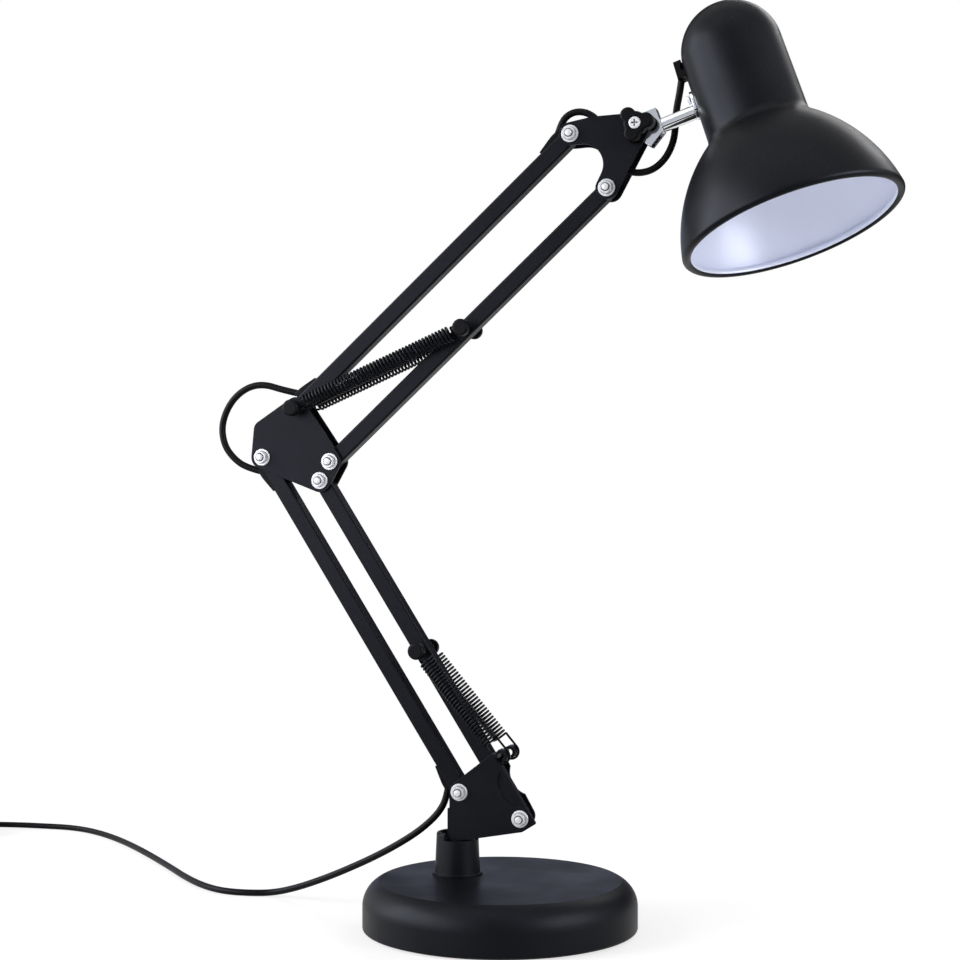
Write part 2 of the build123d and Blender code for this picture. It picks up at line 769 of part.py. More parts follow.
def inner_cord(name, span, slants):
    """Cord inside a rear tube, from mouth to mouth."""
    low_mouth, low_corner = mouth_points(slants[0], 0, 1)
    high_mouth, high_corner = mouth_points(slants[1], span, -1)
    path = FilletPolyline(low_mouth, low_corner, high_corner, high_mouth, radius=mouth_bend)
    section = Plane(origin=low_mouth, z_dir=low_corner - low_mouth) * Circle(cord_radius)
    tube = sweep(section, path=path)
    ratio = tube.volume / (pi * cord_radius**2 * path.length)
    print(name, "length", round(path.length, 1), "volume ratio", round(ratio, 4))
    return tube


lower_slants = (slant_low, slant_elbow)
upper_slants = (slant_upper, slant_head)
lower_rear = arm(lower_arm_span, running_clearance, running_clearance, lower_slants)
lower_front = arm(lower_arm_span, running_clearance, open_clearance, spring_hole=True)
upper_rear = arm(upper_arm_span, running_clearance, running_clearance, upper_slants)
upper_front = arm(upper_arm_span, running_clearance, open_clearance, spring_hole=True)
save("lower_rear_arm", lower_arm_place * lower_rear)
save("lower_front_arm", front_lower_place * lower_front)
save("upper_rear_arm", upper_arm_place * upper_rear)
save("upper_front_arm", front_upper_place * upper_front)
lower_hoods = [hood(slant_low, 0, 1), hood(slant_elbow, lower_arm_span, -1)]
upper_hoods = [hood(slant_upper, 0, 1), hood(slant_head, upper_arm_span, -1)]
save("lower_arm_hoods", *[lower_arm_place * piece for piece in lower_hoods])
save("upper_arm_hoods", *[upper_arm_place * piece for piece in upper_hoods])
save("cord_in_lower_arm", lower_arm_place * inner_cord("cord_in_lower_arm", lower_arm_span, lower_slants))
save("cord_in_upper_arm", upper_arm_place * inner_cord("cord_in_upper_arm", upper_arm_span, upper_slants))


# Springs: one unbroken helical wire each, with straight ends on the axis at the hook and the pin
def spring(name, low, high, low_stop, high_stop, coil_from, coil_margin, curls, side):
    offset = Vector(0, side * spring_offset, 0)
    axis = (high - low).normalized()
    across = Vector(0, 1, 0)
    upward = axis.cross(across)
    length = (high - low).length
    coil_to = length - coil_margin
    rise = (coil_to - coil_from) / (2 * pi * curls)

    def station(angle):
        middle = low + offset + axis * (coil_from + rise * angle)
        radial = across * cos(angle) + upward * sin(angle)
        turning = upward * cos(angle) - across * sin(angle)
        return middle + radial * spring_coil_radius, (axis * rise + turning * spring_coil_radius).normalized()

    half_turns = [station(pi * count) for count in range(2 * curls + 1)]
    start = low + offset + axis * low_stop
    bend_in = start + axis * spring_end_straight
    end = low + offset + axis * (length - high_stop)
    bend_out = end - axis * spring_end_straight
    stations = [(bend_in, axis), *half_turns, (bend_out, axis)]
    edges = [Line(start, bend_in), *wire_along(stations), Line(bend_out, end)]
    wire = round_tube(edges, spring_wire / 2, start, axis)
    per_half = 12
    samples = [station(pi * count / per_half)[0] for count in range(2 * per_half * curls + 1)]
    print(name, "least gap between curls", round(least_gap(samples, per_half, spring_wire), 2))
    return wire


hook_stop = hook_radius + open_clearance
pin_stop = spring_pin_radius + open_clearance
for label, side in (("front", -1), ("back", 1)):
    lower_spring = spring(
        f"lower_spring_{label}", hook_centre, lower_spring_pivot, hook_stop, pin_stop,
        lower_coil_from, lower_coil_margin, lower_curls, side,
    )
    upper_spring = spring(
        f"upper_spring_{label}", upper_rear_pivot, upper_spring_pivot, pin_stop, pin_stop,
        upper_coil_from, upper_coil_margin, upper_curls, side,
    )
    save(f"lower_spring_{label}", lower_spring)
    save(f"upper_spring_{label}", upper_spring)


# Head joint: clevis, friction discs, trefoil knob with its screw, and the nut at the back
def clevis():
    plate_middle = clevis_face + clevis_plate / 2
    outline = wrapped(
        (Vector(0, 0, 0), clevis_ear_radius),
        (Vector(plate_middle, 0, clevis_top - clevis_corner), clevis_corner),
        (Vector(plate_middle, 0, clevis_corner - clevis_bottom), clevis_corner),
        (Vector(clevis_tail_ahead, 0, clevis_corner - clevis_tail_below), clevis_corner),
    )
    outline -= disc(Vector(0, 0, 0), tilt_screw_radius + running_clearance)
    ear = slab(outline, clevis_half_width - clevis_ear, clevis_half_width)
    height = clevis_top + clevis_bottom
    body = Pos(plate_middle, 0, (clevis_top - clevis_bottom) / 2) * Box(
        clevis_plate, 2 * clevis_half_width, height
    )
    for side in both_sides(ear):
        body += side
    rod_hole = Cylinder(rod_spigot_radius + running_clearance, 6 * clevis_plate)
    return body - Pos(clevis_face, 0, -rod_drop) * Rot(0, 90, 0) * rod_hole


def knob():
    outline = Circle(knob_hub_radius)
    for count in range(3):
        turn = knob_lobe_angle + 120 * count
        lobe = Vector(knob_reach * cos(radians(turn)), 0, knob_reach * sin(radians(turn)))
        outline += wrapped((Vector(0, 0, 0), knob_lobe_radius), (lobe, knob_lobe_radius))
    back = -plate_outer - washer_thickness - seat_gap
    body = slab(Pos(tilt_pivot.X, tilt_pivot.Z) * outline, back - knob_thickness, back)
    crown = body.faces().sort_by(Axis.Y)[0]
    body = fillet(crown.edges(), knob_round)
    front = back - knob_thickness
    body -= pin(tilt_pivot, knob_recess_radius, front - 1, front + knob_recess_depth)
    return body - pin(tilt_pivot, tilt_screw_radius + fixed_clearance, front - 1, back + 1)


knob_front = -plate_outer - washer_thickness - seat_gap - knob_thickness
screw_head = knob_front + knob_recess_depth
screw_end = washer_outer + tilt_nut_thickness + bolt_end
screw_top = screw_head - knob_screw_head_height
pan_head = pin(tilt_pivot, knob_screw_head_radius, screw_top, screw_head)
pan_head = fillet(pan_head.faces().sort_by(Axis.Y)[0].edges(), knob_screw_head_round)
cross = Box(knob_screw_cross, 2 * knob_screw_cross_depth, knob_screw_cross_width)
cross += Box(knob_screw_cross_width, 2 * knob_screw_cross_depth, knob_screw_cross)
knob_screw = pin(tilt_pivot, tilt_screw_radius, screw_head, screw_end) + pan_head
knob_screw -= Pos(tilt_pivot.X, screw_top, tilt_pivot.Z) * cross
screw_bore = tilt_screw_radius + running_clearance
knob_washers = ring_pair(tilt_pivot, washer_radius, screw_bore, plate_outer, washer_outer)
friction_discs = ring_pair(tilt_pivot, friction_radius, screw_bore, friction_inner, plate_inner)
knob_nut_outline = hexagon(tilt_pivot, tilt_nut_flats) - disc(tilt_pivot, screw_bore)
knob_nut = slab(knob_nut_outline, washer_outer, washer_outer + tilt_nut_thickness)
save("clevis", tilt_place * clevis())
save("knob", knob())
save("knob_screw", knob_screw)
save("friction_discs", *friction_discs)
save("knob_nut", knob_nut, *knob_washers)


# Shade, made about its own axis with the dome up
def circle_through(first, second, third):
    """Centre and radius of the circle through three points of a section."""
    ax, ay = first
    bx, by = second
    cx, cy = third
    scale = 2 * (ax * (by - cy) + bx * (cy - ay) + cx * (ay - by))
    sums = [ax**2 + ay**2, bx**2 + by**2, cx**2 + cy**2]
    x = (sums[0] * (by - cy) + sums[1] * (cy - ay) + sums[2] * (ay - by)) / scale
    y = (sums[0] * (cx - bx) + sums[1] * (ax - cx) + sums[2] * (bx - ax)) / scale
    return (x, y), sqrt((ax - x) ** 2 + (ay - y) ** 2)


def arc_about(centre, radius, start, end):
    """Arc of a section about a centre, between two angles in degrees."""
    places = [(centre[0] + radius * cos(radians(a)), centre[1] + radius * sin(radians(a)))
              for a in (start, (start + end) / 2, end)]
    return ThreePointArc(*places)


def shade_solid(inset):
    """Filled shade, drawn in by an inset."""
    bell_start = (bell_top_radius, 0)
    bell_end = (bell_radius, -bell_depth)
    centre, radius = circle_through(bell_start, (bell_middle_radius, -bell_middle_depth), bell_end)
    top_angle = degrees(acos((neck_foot_radius - inset - centre[0]) / (radius - inset)))
    end_angle = degrees(atan2(bell_end[1] - centre[1], bell_end[0] - centre[0]))
    dome = arc_about((0, neck_length), neck_top_radius - inset, 90, 0)
    bell = arc_about(centre, radius - inset, top_angle, end_angle)
    lip_centre = (bell_radius - lip_radius, -bell_depth)
    lip = arc_about(lip_centre, lip_radius - inset, end_angle, -lip_angle)
    neck = Line(dome @ 1, bell @ 0)
    joint = Line(bell @ 1, lip @ 0)
    closing = Polyline(lip @ 1, (0, (lip @ 1).Y), dome @ 0)
    section = make_face([dome, neck, bell, joint, lip, *closing.edges()])
    crease = section.vertices().sort_by_distance(bell @ 0)[0]
    return revolve(Plane.XZ * fillet(crease, crease_round + inset), Axis.Z)


def neck_cone(outset, height_low, height_high):
    """Cone that follows the neck at a distance outside it."""
    slope = (neck_top_radius - neck_foot_radius) / neck_length
    low = neck_foot_radius + outset + slope * height_low
    high = neck_foot_radius + outset + slope * height_high
    return Pos(0, 0, (height_low + height_high) / 2) * Cone(low, high, height_high - height_low)


rod_station = crease_below_tilt - rod_drop
clip_low = rod_station - clip_below_rod
clip_high = rod_station + clip_above_rod
clip_middle = (clip_low + clip_high) / 2


def above_rod(radius, length):
    """Level cylinder at the height of the clip's screw, that ends at the shade's axis."""
    return Pos(-length / 2, 0, rod_station + clip_screw_above) * Rot(0, 90, 0) * Cylinder(radius, length)


shell_reach = neck_foot_radius + clip_thickness
lip_bottom = bell_depth + lip_radius
shade = shade_solid(0) - shade_solid(shade_wall)
shade -= Pos(0, 0, -lip_bottom) * Cylinder(bell_radius - lip_radius, 2 * lip_radius)
screw_hole = above_rod(clip_screw_radius + fixed_clearance, 2 * shell_reach)
shade -= screw_hole
save("shade", shade_place * shade)

clip_oval = Pos(0, clip_middle) * SlotOverall(clip_high - clip_low, 2 * clip_half_width, rotation=90)
clip = extrude(Plane.YZ * clip_oval, 2 * shell_reach, dir=(-1, 0, 0))
clip &= neck_cone(seat_gap + clip_thickness, clip_low - 1, clip_high + 1)
clip -= neck_cone(seat_gap, clip_low - 2, clip_high + 2)
clip -= screw_hole
save("shade_clip", shade_place * clip)

holder = Pos(0, 0, (holder_mouth + holder_top) / 2) * Cylinder(holder_radius, holder_top - holder_mouth)
holder = fillet(holder.edges().group_by(Axis.Z)[-1], holder_round)
block_height = clip_high - holder_mouth
block = Pos(-shell_reach / 2, 0, holder_mouth + block_height / 2) * Box(
    shell_reach, 2 * holder_block_half_width, block_height
)
holder += block & neck_cone(-shade_wall - holder_gap, clip_low - 1, clip_high + 1)
holder -= Pos(0, 0, holder_mouth + holder_bore_depth / 2) * Cylinder(holder_bore, holder_bore_depth)
holder -= screw_hole
save("lamp_holder", shade_place * holder)

ring_bottom = holder_mouth - holder_ring_thickness - seat_gap
holder_ring = extrude(Circle(holder_ring_radius) - Circle(holder_ring_bore), holder_ring_thickness)
save("holder_ring", shade_place * Pos(0, 0, ring_bottom) * holder_ring)

screw_start = neck_foot_radius + seat_gap + clip_thickness + clip_screw_gap
screw_inner = holder_bore + clip_screw_margin
clip_screw = above_rod(clip_screw_head, screw_start + clip_screw_head_height)
clip_screw -= above_rod(2 * clip_screw_head, screw_start)
clip_screw += above_rod(clip_screw_radius, screw_start)
clip_screw -= above_rod(2 * clip_screw_radius, screw_inner)

bulb_cap = extrude(Circle(bulb_cap_radius), bulb_cap_height)
bulb_top = holder_mouth + bulb_cap_above_mouth
save("bulb_cap", shade_place * Pos(0, 0, bulb_top) * bulb_cap)
globe = Pos(0, 0, bulb_centre) * Sphere(bulb_radius)
bulb_neck = Pos(0, 0, bulb_centre) * extrude(Circle(bulb_neck_radius), bulb_top - bulb_centre)
save("bulb_glass", shade_place * (globe + bulb_neck))

grip_low = grip_station - grip_height / 2
grip_high = grip_station + grip_height / 2
grip_box = Pos(-shell_reach, 0, grip_station) * Box(4 * grip_thickness, grip_width, grip_height)
grip_skin = Pos(0, 0, grip_station) * Cone(
    neck_top_radius + grip_foot_thickness, neck_top_radius + grip_thickness, grip_height
)
grip = (grip_box & grip_skin) - neck_cone(seat_gap, grip_low - 2, grip_high + 2)
grip_cord = Vector(-neck_top_radius - grip_cord_out, 0, grip_low)
sideways = radians(grip_sideways)
grip_way = along(cos(sideways), 90 - grip_slant) - Vector(0, sin(sideways), 0)
grip_hole = Plane(origin=grip_cord - grip_way * cord_diameter, z_dir=grip_way)
grip -= extrude(grip_hole * Circle(cord_radius + cord_hole_clearance), 4 * cord_diameter)
save("cord_grip", shade_place * grip)

rod_shoulder = clevis_face + clevis_plate + seat_gap


def rod_length(radius, start, end):
    return Pos((start + end) / 2, 0, 0) * Rot(0, 90, 0) * Cylinder(radius, end - start)


rod = rod_length(rod_radius, rod_shoulder, shade_from_tilt)
rod += rod_length(rod_spigot_radius, rod_inner_end, rod_shoulder)
rod_end = neck_cone(2 * seat_gap + clip_thickness, clip_low, clip_high)
save("rod", roll_place * (rod - Pos(shade_from_tilt, 0, -rod_station) * rod_end))
circlip = slab(Circle(circlip_radius) - Circle(rod_spigot_radius + fixed_clearance), 0, circlip_thickness)
circlip_at = clevis_face - seat_gap - circlip_thickness
circlip = roll_place * Pos(circlip_at, 0, 0) * Rot(0, 0, -90) * circlip
save("shade_fasteners", circlip, shade_place * clip_screw)


# Cord outside the tubes
def out_of_arm(place, slant, pivot, inward, lead_out=cord_lead_out):
    """First two points of a route: the hood's mouth, and a point straight out of it."""
    mouth, corner = mouth_points(slant, pivot, inward)
    ahead = mouth + (mouth - corner).normalized() * lead_out
    return [tuple((place * Pos(*point)).position) for point in (mouth, ahead)]


def joined(low_route, high_route):
    """Two routes that meet midway between the last point of one and the first of the other."""
    meeting = tuple((a + b) / 2 for a, b in zip(low_route[-1], high_route[0]))
    return [*low_route, meeting], [meeting, *high_route]


lead_start = out_of_arm(lower_arm_place, slant_low, 0, 1)
elbow_start = out_of_arm(lower_arm_place, slant_elbow, lower_arm_span, -1, elbow_lead_out)
elbow_end = out_of_arm(upper_arm_place, slant_upper, 0, 1, elbow_lead_out)
head_start = out_of_arm(upper_arm_place, slant_head, upper_arm_span, -1)
grip_ends = [grip_cord - grip_way * cord_lead_out, grip_cord]
loop_end = [tuple((shade_place * Pos(*point)).position) for point in grip_ends]
elbow_low, elbow_high = joined([*elbow_start, *elbow_route_low], [*elbow_route_high, *reversed(elbow_end)])
arc_part, loop_start = joined([*head_start, *head_arc_route], head_loop_low)
loop_low, loop_high = joined(loop_start, [*head_loop_high, *loop_end])
drop_high, drop_start = joined([*lead_start, *drop_route_high], drop_route_low)
drop_low, table_start = joined(drop_start, table_route)
save("cord_elbow_low", cord_tube("cord_elbow_low", elbow_low))
save("cord_elbow_high", cord_tube("cord_elbow_high", elbow_high))
save("cord_head_arc", cord_tube("cord_head_arc", arc_part))
save("cord_head_loop_low", cord_tube("cord_head_loop_low", loop_low))
save("cord_head_loop_high", cord_tube("cord_head_loop_high", loop_high))
save("lead_drop_high", cord_tube("lead_drop_high", drop_high))
save("lead_drop_low", cord_tube("lead_drop_low", drop_low))
save("lead_run", cord_tube("lead_run", [*table_start, coil_entry]))

# Coil of the lead: spirals in and out at a steady rate, and climbs a layer in the half turn where it reverses
entry = Vector(*coil_entry)
arrival = entry - Vector(*table_route[-1])
heading = atan2(arrival.Y, arrival.X)
entry_angle = heading - pi / 2
coil_centre = entry - Vector(cos(entry_angle), sin(entry_angle), 0) * coil_outer_radius
coil_sweep = 2 * pi * coil_whole_turns + (radians(coil_end_angle) - entry_angle) % (2 * pi)
layer_sweep = coil_sweep / coil_layers
coil_inner_radius = coil_outer_radius - coil_pitch * layer_sweep / (2 * pi)


def coil_point(turned):
    """Point of the coil after an angle turned from its entry."""
    layer = min(int(turned / layer_sweep), coil_layers - 1)
    share = turned / layer_sweep - layer
    inward = share if layer % 2 == 0 else 1 - share
    radius = coil_outer_radius + (coil_inner_radius - coil_outer_radius) * inward
    nearest = round(turned / layer_sweep)
    climbs = 0 < nearest < coil_layers
    climbed = min(1, max(0, (turned - nearest * layer_sweep) / pi + 0.5)) if climbs else 0
    level = nearest - 1 + climbed * climbed * (3 - 2 * climbed) if climbs else layer
    angle = entry_angle + turned
    return coil_centre + Vector(radius * cos(angle), radius * sin(angle), coil_pitch * level)


def coil_station(turned):
    step = radians(2)
    ahead = coil_point(min(turned + step, coil_sweep))
    behind = coil_point(max(turned - step, 0))
    return coil_point(turned), (ahead - behind).normalized()


quarter_count = round(coil_sweep / (pi / 2))
turns = [coil_sweep * count / quarter_count for count in range(quarter_count + 1)]
stations = [coil_station(turned) for turned in turns]
flat_arrival = Vector(cos(heading), sin(heading), 0)
stations[0] = (entry, flat_arrival)
last_angle = entry_angle + coil_sweep
departure = Vector(-sin(last_angle), cos(last_angle), 0)
stations[-1] = (stations[-1][0], departure)
coil_finish = stations[-1][0] + departure * cord_diameter
coil_edges = [*wire_along(stations), Line(stations[-1][0], coil_finish)]
coil = round_tube(coil_edges, cord_radius, entry, flat_arrival)
sample_count = 400
coil_samples = [coil_point(coil_sweep * count / sample_count) for count in range(sample_count + 1)]
samples_per_half_turn = int(sample_count * pi / coil_sweep)
coil_length = sum((b - a).length for a, b in zip(coil_samples, coil_samples[1:]))
print("lead_coil length", round(coil_length, 1), "turns", round(coil_sweep / (2 * pi), 2),
      "least gap", round(least_gap(coil_samples, samples_per_half_turn, cord_diameter), 2))
save("lead_coil", coil)

fall = plug_height / 2 - coil_finish.Z
tail_points = [tuple(coil_finish)]
for x, y, share in tail_route:
    tail_points.append(tuple(coil_finish + Vector(x, y, share * fall)))
save("lead_tail", cord_tube("lead_tail", tail_points))

bundle_inner = coil_inner_radius - cord_radius - tie_gap
bundle_outer = coil_outer_radius + cord_radius + tie_gap
bundle_low = entry.Z - cord_radius - tie_gap
bundle_high = entry.Z + (coil_layers - 1) * coil_pitch + cord_radius + tie_gap
bundle_middle = ((bundle_inner + bundle_outer) / 2, (bundle_low + bundle_high) / 2)
bundle_size = (bundle_outer - bundle_inner, bundle_high - bundle_low)
tie_outside = Rectangle(bundle_size[0] + 2 * tie_thickness, bundle_size[1] + 2 * tie_thickness)
tie_face = Pos(*bundle_middle) * (tie_outside - Rectangle(*bundle_size))
tie = slab(tie_face, -tie_width / 2, tie_width / 2)
save("lead_tie", Pos(coil_centre.X, coil_centre.Y, 0) * Rot(0, 0, tie_angle) * tie)


# Plug with a tapered strain relief, made along X from the cord's end
def plug_body():
    relief = Cone(cord_radius + plug_relief_lip, plug_relief_radius, plug_relief_length)
    shoulder = plug_relief_length + plug_shoulder_length
    face_end = plug_relief_length + plug_length
    outline = make_face(
        Polyline(
            (plug_relief_length, -plug_shoulder_half_width),
            (shoulder, -plug_width / 2),
            (face_end, -plug_width / 2),
            (face_end, plug_width / 2),
            (shoulder, plug_width / 2),
            (plug_relief_length, plug_shoulder_half_width),
            close=True,
        ).edges()
    )
    body = extrude(outline, plug_height / 2, both=True)
    body = fillet(body.edges().filter_by(Axis.Z), plug_corner)
    flat_faces = body.faces().sort_by(Axis.Z)
    body = fillet(flat_faces[-1].edges() + flat_faces[0].edges(), plug_edge_round)
    return body + Pos(plug_relief_length / 2, 0, 0) * Rot(0, 90, 0) * relief


plug_start = Vector(*tail_points[-1])
plug_heading = plug_start - Vector(*tail_points[-2])
plug_turn = degrees(atan2(plug_heading.Y, plug_heading.X))
plug_place = Pos(plug_start.X, plug_start.Y, plug_height / 2) * Rot(0, 0, plug_turn)
save("plug", plug_place * plug_body())
plug_end = plug_relief_length + plug_length
plug_pin = Rot(0, 90, 0) * Cylinder(plug_pin_radius, plug_pin_length)
plug_pin = Pos(plug_end + plug_pin_length / 2, 0, 0) * plug_pin
plug_pin = fillet(plug_pin.edges().sort_by(Axis.X)[-1], plug_pin_round)
pin_pair = [Pos(0, side * plug_pin_spacing / 2, 0) * plug_pin for side in (-1, 1)]
save("plug_pins", *[plug_place * piece for piece in pin_pair])
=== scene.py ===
import json
from math import acos, asin, atan, atan2, ceil, cos, degrees, pi, radians, sin, sqrt

import bmesh
import bpy
from bpy.props import FloatProperty, FloatVectorProperty, IntProperty, PointerProperty
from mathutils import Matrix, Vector


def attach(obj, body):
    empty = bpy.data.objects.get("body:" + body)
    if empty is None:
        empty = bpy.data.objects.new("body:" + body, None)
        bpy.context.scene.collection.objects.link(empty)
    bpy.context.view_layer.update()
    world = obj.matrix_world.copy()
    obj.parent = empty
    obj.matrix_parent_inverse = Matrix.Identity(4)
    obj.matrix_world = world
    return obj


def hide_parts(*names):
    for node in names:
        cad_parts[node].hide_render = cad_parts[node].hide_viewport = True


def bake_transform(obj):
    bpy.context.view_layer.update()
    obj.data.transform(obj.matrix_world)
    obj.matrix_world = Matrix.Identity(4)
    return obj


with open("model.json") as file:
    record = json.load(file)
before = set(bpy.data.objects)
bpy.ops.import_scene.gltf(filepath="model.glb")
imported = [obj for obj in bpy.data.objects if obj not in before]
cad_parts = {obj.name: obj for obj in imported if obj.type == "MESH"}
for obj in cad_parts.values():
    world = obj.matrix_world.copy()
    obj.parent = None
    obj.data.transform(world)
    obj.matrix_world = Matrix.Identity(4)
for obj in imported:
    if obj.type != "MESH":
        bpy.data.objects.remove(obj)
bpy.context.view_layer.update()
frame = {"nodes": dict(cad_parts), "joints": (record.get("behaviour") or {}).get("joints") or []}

bl_info = {
    "name": "Swing-Arm Desk Lamp",
    "version": (1, 0, 0),
    "blender": (4, 5, 0),
    "location": "3D View > Sidebar > Lamp",
    "description": "Finishes, springs, cords and studio for a black swing-arm desk lamp",
    "category": "Object",
}

MM = 0.001
PIVOT = {joint["name"]: Vector(joint["pos_m"]) for joint in frame["joints"]}
ARM_PLANE = PIVOT["elbow_level"].y
ROD_WAY = Vector(next(joint["axis"] for joint in frame["joints"] if joint["name"] == "shade_roll"))

# Where the pieces of the linkage meet, in the arm plane
LOWER_REAR = PIVOT["lower_arm_swing"]
LOWER_FRONT = PIVOT["lower_front_swing"]
ELBOW_REAR = PIVOT["elbow_level"]
ELBOW_FRONT = LOWER_FRONT + ELBOW_REAR - LOWER_REAR
UPPER_FRONT = PIVOT["upper_front_swing"]
UPPER_REAR = PIVOT["upper_arm_swing"]
HEAD_REAR = PIVOT["head_level"]
HEAD_FRONT = UPPER_FRONT + HEAD_REAR - UPPER_REAR


def size(name, description, default):
    """Length in metres that a user may change."""
    return FloatProperty(name=name, description=description, default=default, unit="LENGTH", precision=5)


def whole(name, description, default, least):
    return IntProperty(name=name, description=description, default=default, min=least)


def colour(name, description, default):
    return FloatVectorProperty(name=name, description=description, default=default, size=3, subtype="COLOR",
                               min=0.0, max=1.0)


def number(name, description, default):
    return FloatProperty(name=name, description=description, default=default, min=0.0)


class LampSizes(bpy.types.PropertyGroup):
    """Sizes of the pieces that are modelled here"""

    cord_diameter: size("Cord diameter", "Outside of the round two-core cord", 4.2 * MM)
    spring_wire: size("Spring wire", "Diameter of the spring wire", 1.45 * MM)
    spring_coil: size("Spring coil", "Diameter of the coils at the middle of the wire", 8.8 * MM)
    spring_offset: size("Spring offset", "Distance of a spring from the arm plane", 11.0 * MM)
    spring_station: size("Spring pin station", "From an arm's lower pivot to its spring pin", 118.0 * MM)
    lower_turns: whole("Lower spring turns", "Coils of each lower spring", 29, 4)
    upper_turns: whole("Upper spring turns", "Coils of each upper spring", 45, 4)
    nut_flats: size("Nut width", "Width across the flats of the pivot nuts", 7.0 * MM)
    bolt_radius: size("Bolt radius", "Radius of the pivot bolts", 2.0 * MM)
    washer_radius: size("Washer radius", "Outer radius of the washers", 5.2 * MM)
    shade_wall: size("Shade wall", "Thickness of the spun shade", 1.0 * MM)
    shade_segments: whole("Shade segments", "Facets round the shade", 144, 24)


class LampFinishes(bpy.types.PropertyGroup):
    """Colours of the lamp's finishes"""

    paint: colour("Black paint", "Satin paint of the base, frame and shade", (0.0036, 0.0039, 0.0053))
    sheen: colour("Paint sheen", "Tint of the paint's reflections", (0.88, 0.92, 1.0))
    worn: colour("Worn edge", "Paint where edges are rubbed", (0.035, 0.035, 0.040))
    dust: colour("Dust", "Fine dust on the paint", (0.10, 0.10, 0.105))
    shade_white: colour("White enamel", "Inside of the shade", (0.80, 0.84, 1.0))
    zinc: colour("Zinc plate", "Nuts, washers and bolts", (0.74, 0.75, 0.78))
    chrome: colour("Chrome", "Clevis, rod and clip", (0.80, 0.81, 0.83))
    plastic: colour("Black plastic", "Knob, caps, hoods, cord grip and plug", (0.0045, 0.0046, 0.0055))
    sheath: colour("Cord sheath", "Outside of the cord", (0.0055, 0.0055, 0.0062))
    iron: colour("Cast iron", "Weight in the base", (0.09, 0.088, 0.085))
    nylon: colour("Nylon", "Bushes and friction discs", (0.70, 0.69, 0.65))
    brass: colour("Plug pins", "Nickel-plated brass", (0.72, 0.66, 0.52))
    rubber: colour("Rubber", "Pad under the base", (0.02, 0.02, 0.02))
    bulb: colour("Bulb glass", "Opal coating of the bulb", (0.90, 0.90, 0.88))
    cap: colour("Bulb cap", "Screw cap of the bulb", (0.72, 0.72, 0.70))


class LampStage(bpy.types.PropertyGroup):
    """Camera and studio"""

    azimuth: FloatProperty(name="Camera azimuth", description="Turn of the camera to the lamp's right",
                           default=radians(15.5), subtype="ANGLE")
    distance: size("Camera distance", "From the base's centre, along the view", 1.2)
    side_step: size("Camera side step", "To the left of the base's centre", 0.012)
    height: size("Camera height", "Above the table", 0.26942)
    frame_tangent: number("Half frame", "Tangent of half the angle of view", 0.24)
    floor_white: number("Floor colour", "Brightness of the pale floor", 0.9)
    floor_size: size("Floor size", "Width of the floor", 40.0)
    key_power: number("Key light", "Power of the softbox at the left", 50.0)
    fill_power: number("Fill light", "Power of the softbox at the right", 13.0)
    back_power: number("Back light", "Power of the strip behind", 12.0)
    ambient: number("Ambient light", "Strength of the room's even light", 0.45)


GROUPS = {"lamp_sizes": LampSizes, "lamp_finishes": LampFinishes, "lamp_stage": LampStage}
CLASSES = list(GROUPS.values())


def in_add_on(cls):
    """List a class for registration."""
    CLASSES.append(cls)
    return cls


def sizes():
    return bpy.context.scene.lamp_sizes


def finishes():
    return bpy.context.scene.lamp_finishes


# Shared shader effects
MADE = {}


def made_once(maker):
    """What a maker makes, made the first time that it is wanted."""
    if maker not in MADE:
        MADE[maker] = maker()
    return MADE[maker]


def effect(name, label, default, *outputs):
    """New shader node group with one input, and its input and output nodes. Only a Normal is a vector."""
    tree = bpy.data.node_groups.new(name, "ShaderNodeTree")
    socket = tree.interface.new_socket(label, in_out="INPUT", socket_type="NodeSocketFloat")
    socket.default_value = default
    for output in outputs:
        kind = "NodeSocketVector" if output == "Normal" else "NodeSocketFloat"
        tree.interface.new_socket(output, in_out="OUTPUT", socket_type=kind)
    return tree, tree.nodes.new("NodeGroupInput"), tree.nodes.new("NodeGroupOutput")


def place_effect(tree, maker, **inputs):
    """Outputs of an effect that is placed in a material with its own values."""
    node = tree.nodes.new("ShaderNodeGroup")
    node.node_tree = made_once(maker)
    for label, value in inputs.items():
        node.inputs[label].default_value = value
    return node.outputs


def add(tree, kind, **values):
    """New node with properties set by name, and inputs set where the name is a socket."""
    node = tree.nodes.new(kind)
    for key, value in values.items():
        if hasattr(node, key):
            setattr(node, key, value)
        else:
            node.inputs[key.replace("_", " ").title()].default_value = value
    return node


def ramp(tree, source, low, high, to_low=0.0, to_high=1.0):
    """Clamped remapping of a value."""
    node = add(tree, "ShaderNodeMapRange", clamp=True)
    tree.links.new(source, node.inputs["Value"])
    for label, value in (("From Min", low), ("From Max", high), ("To Min", to_low), ("To Max", to_high)):
        node.inputs[label].default_value = value
    return node.outputs["Result"]


def combined(tree, operation, first, second):
    """Value of two values under a maths operation."""
    node = add(tree, "ShaderNodeMath", operation=operation)
    tree.links.new(first, node.inputs[0])
    tree.links.new(second, node.inputs[1])
    return node.outputs["Value"]


def noise(tree, place=None, **values):
    """Noise texture over a place, or over the piece itself."""
    node = add(tree, "ShaderNodeTexNoise", **values)
    if place is None:
        place = add(tree, "ShaderNodeTexCoord").outputs["Object"]
    tree.links.new(place, node.inputs["Vector"])
    return node


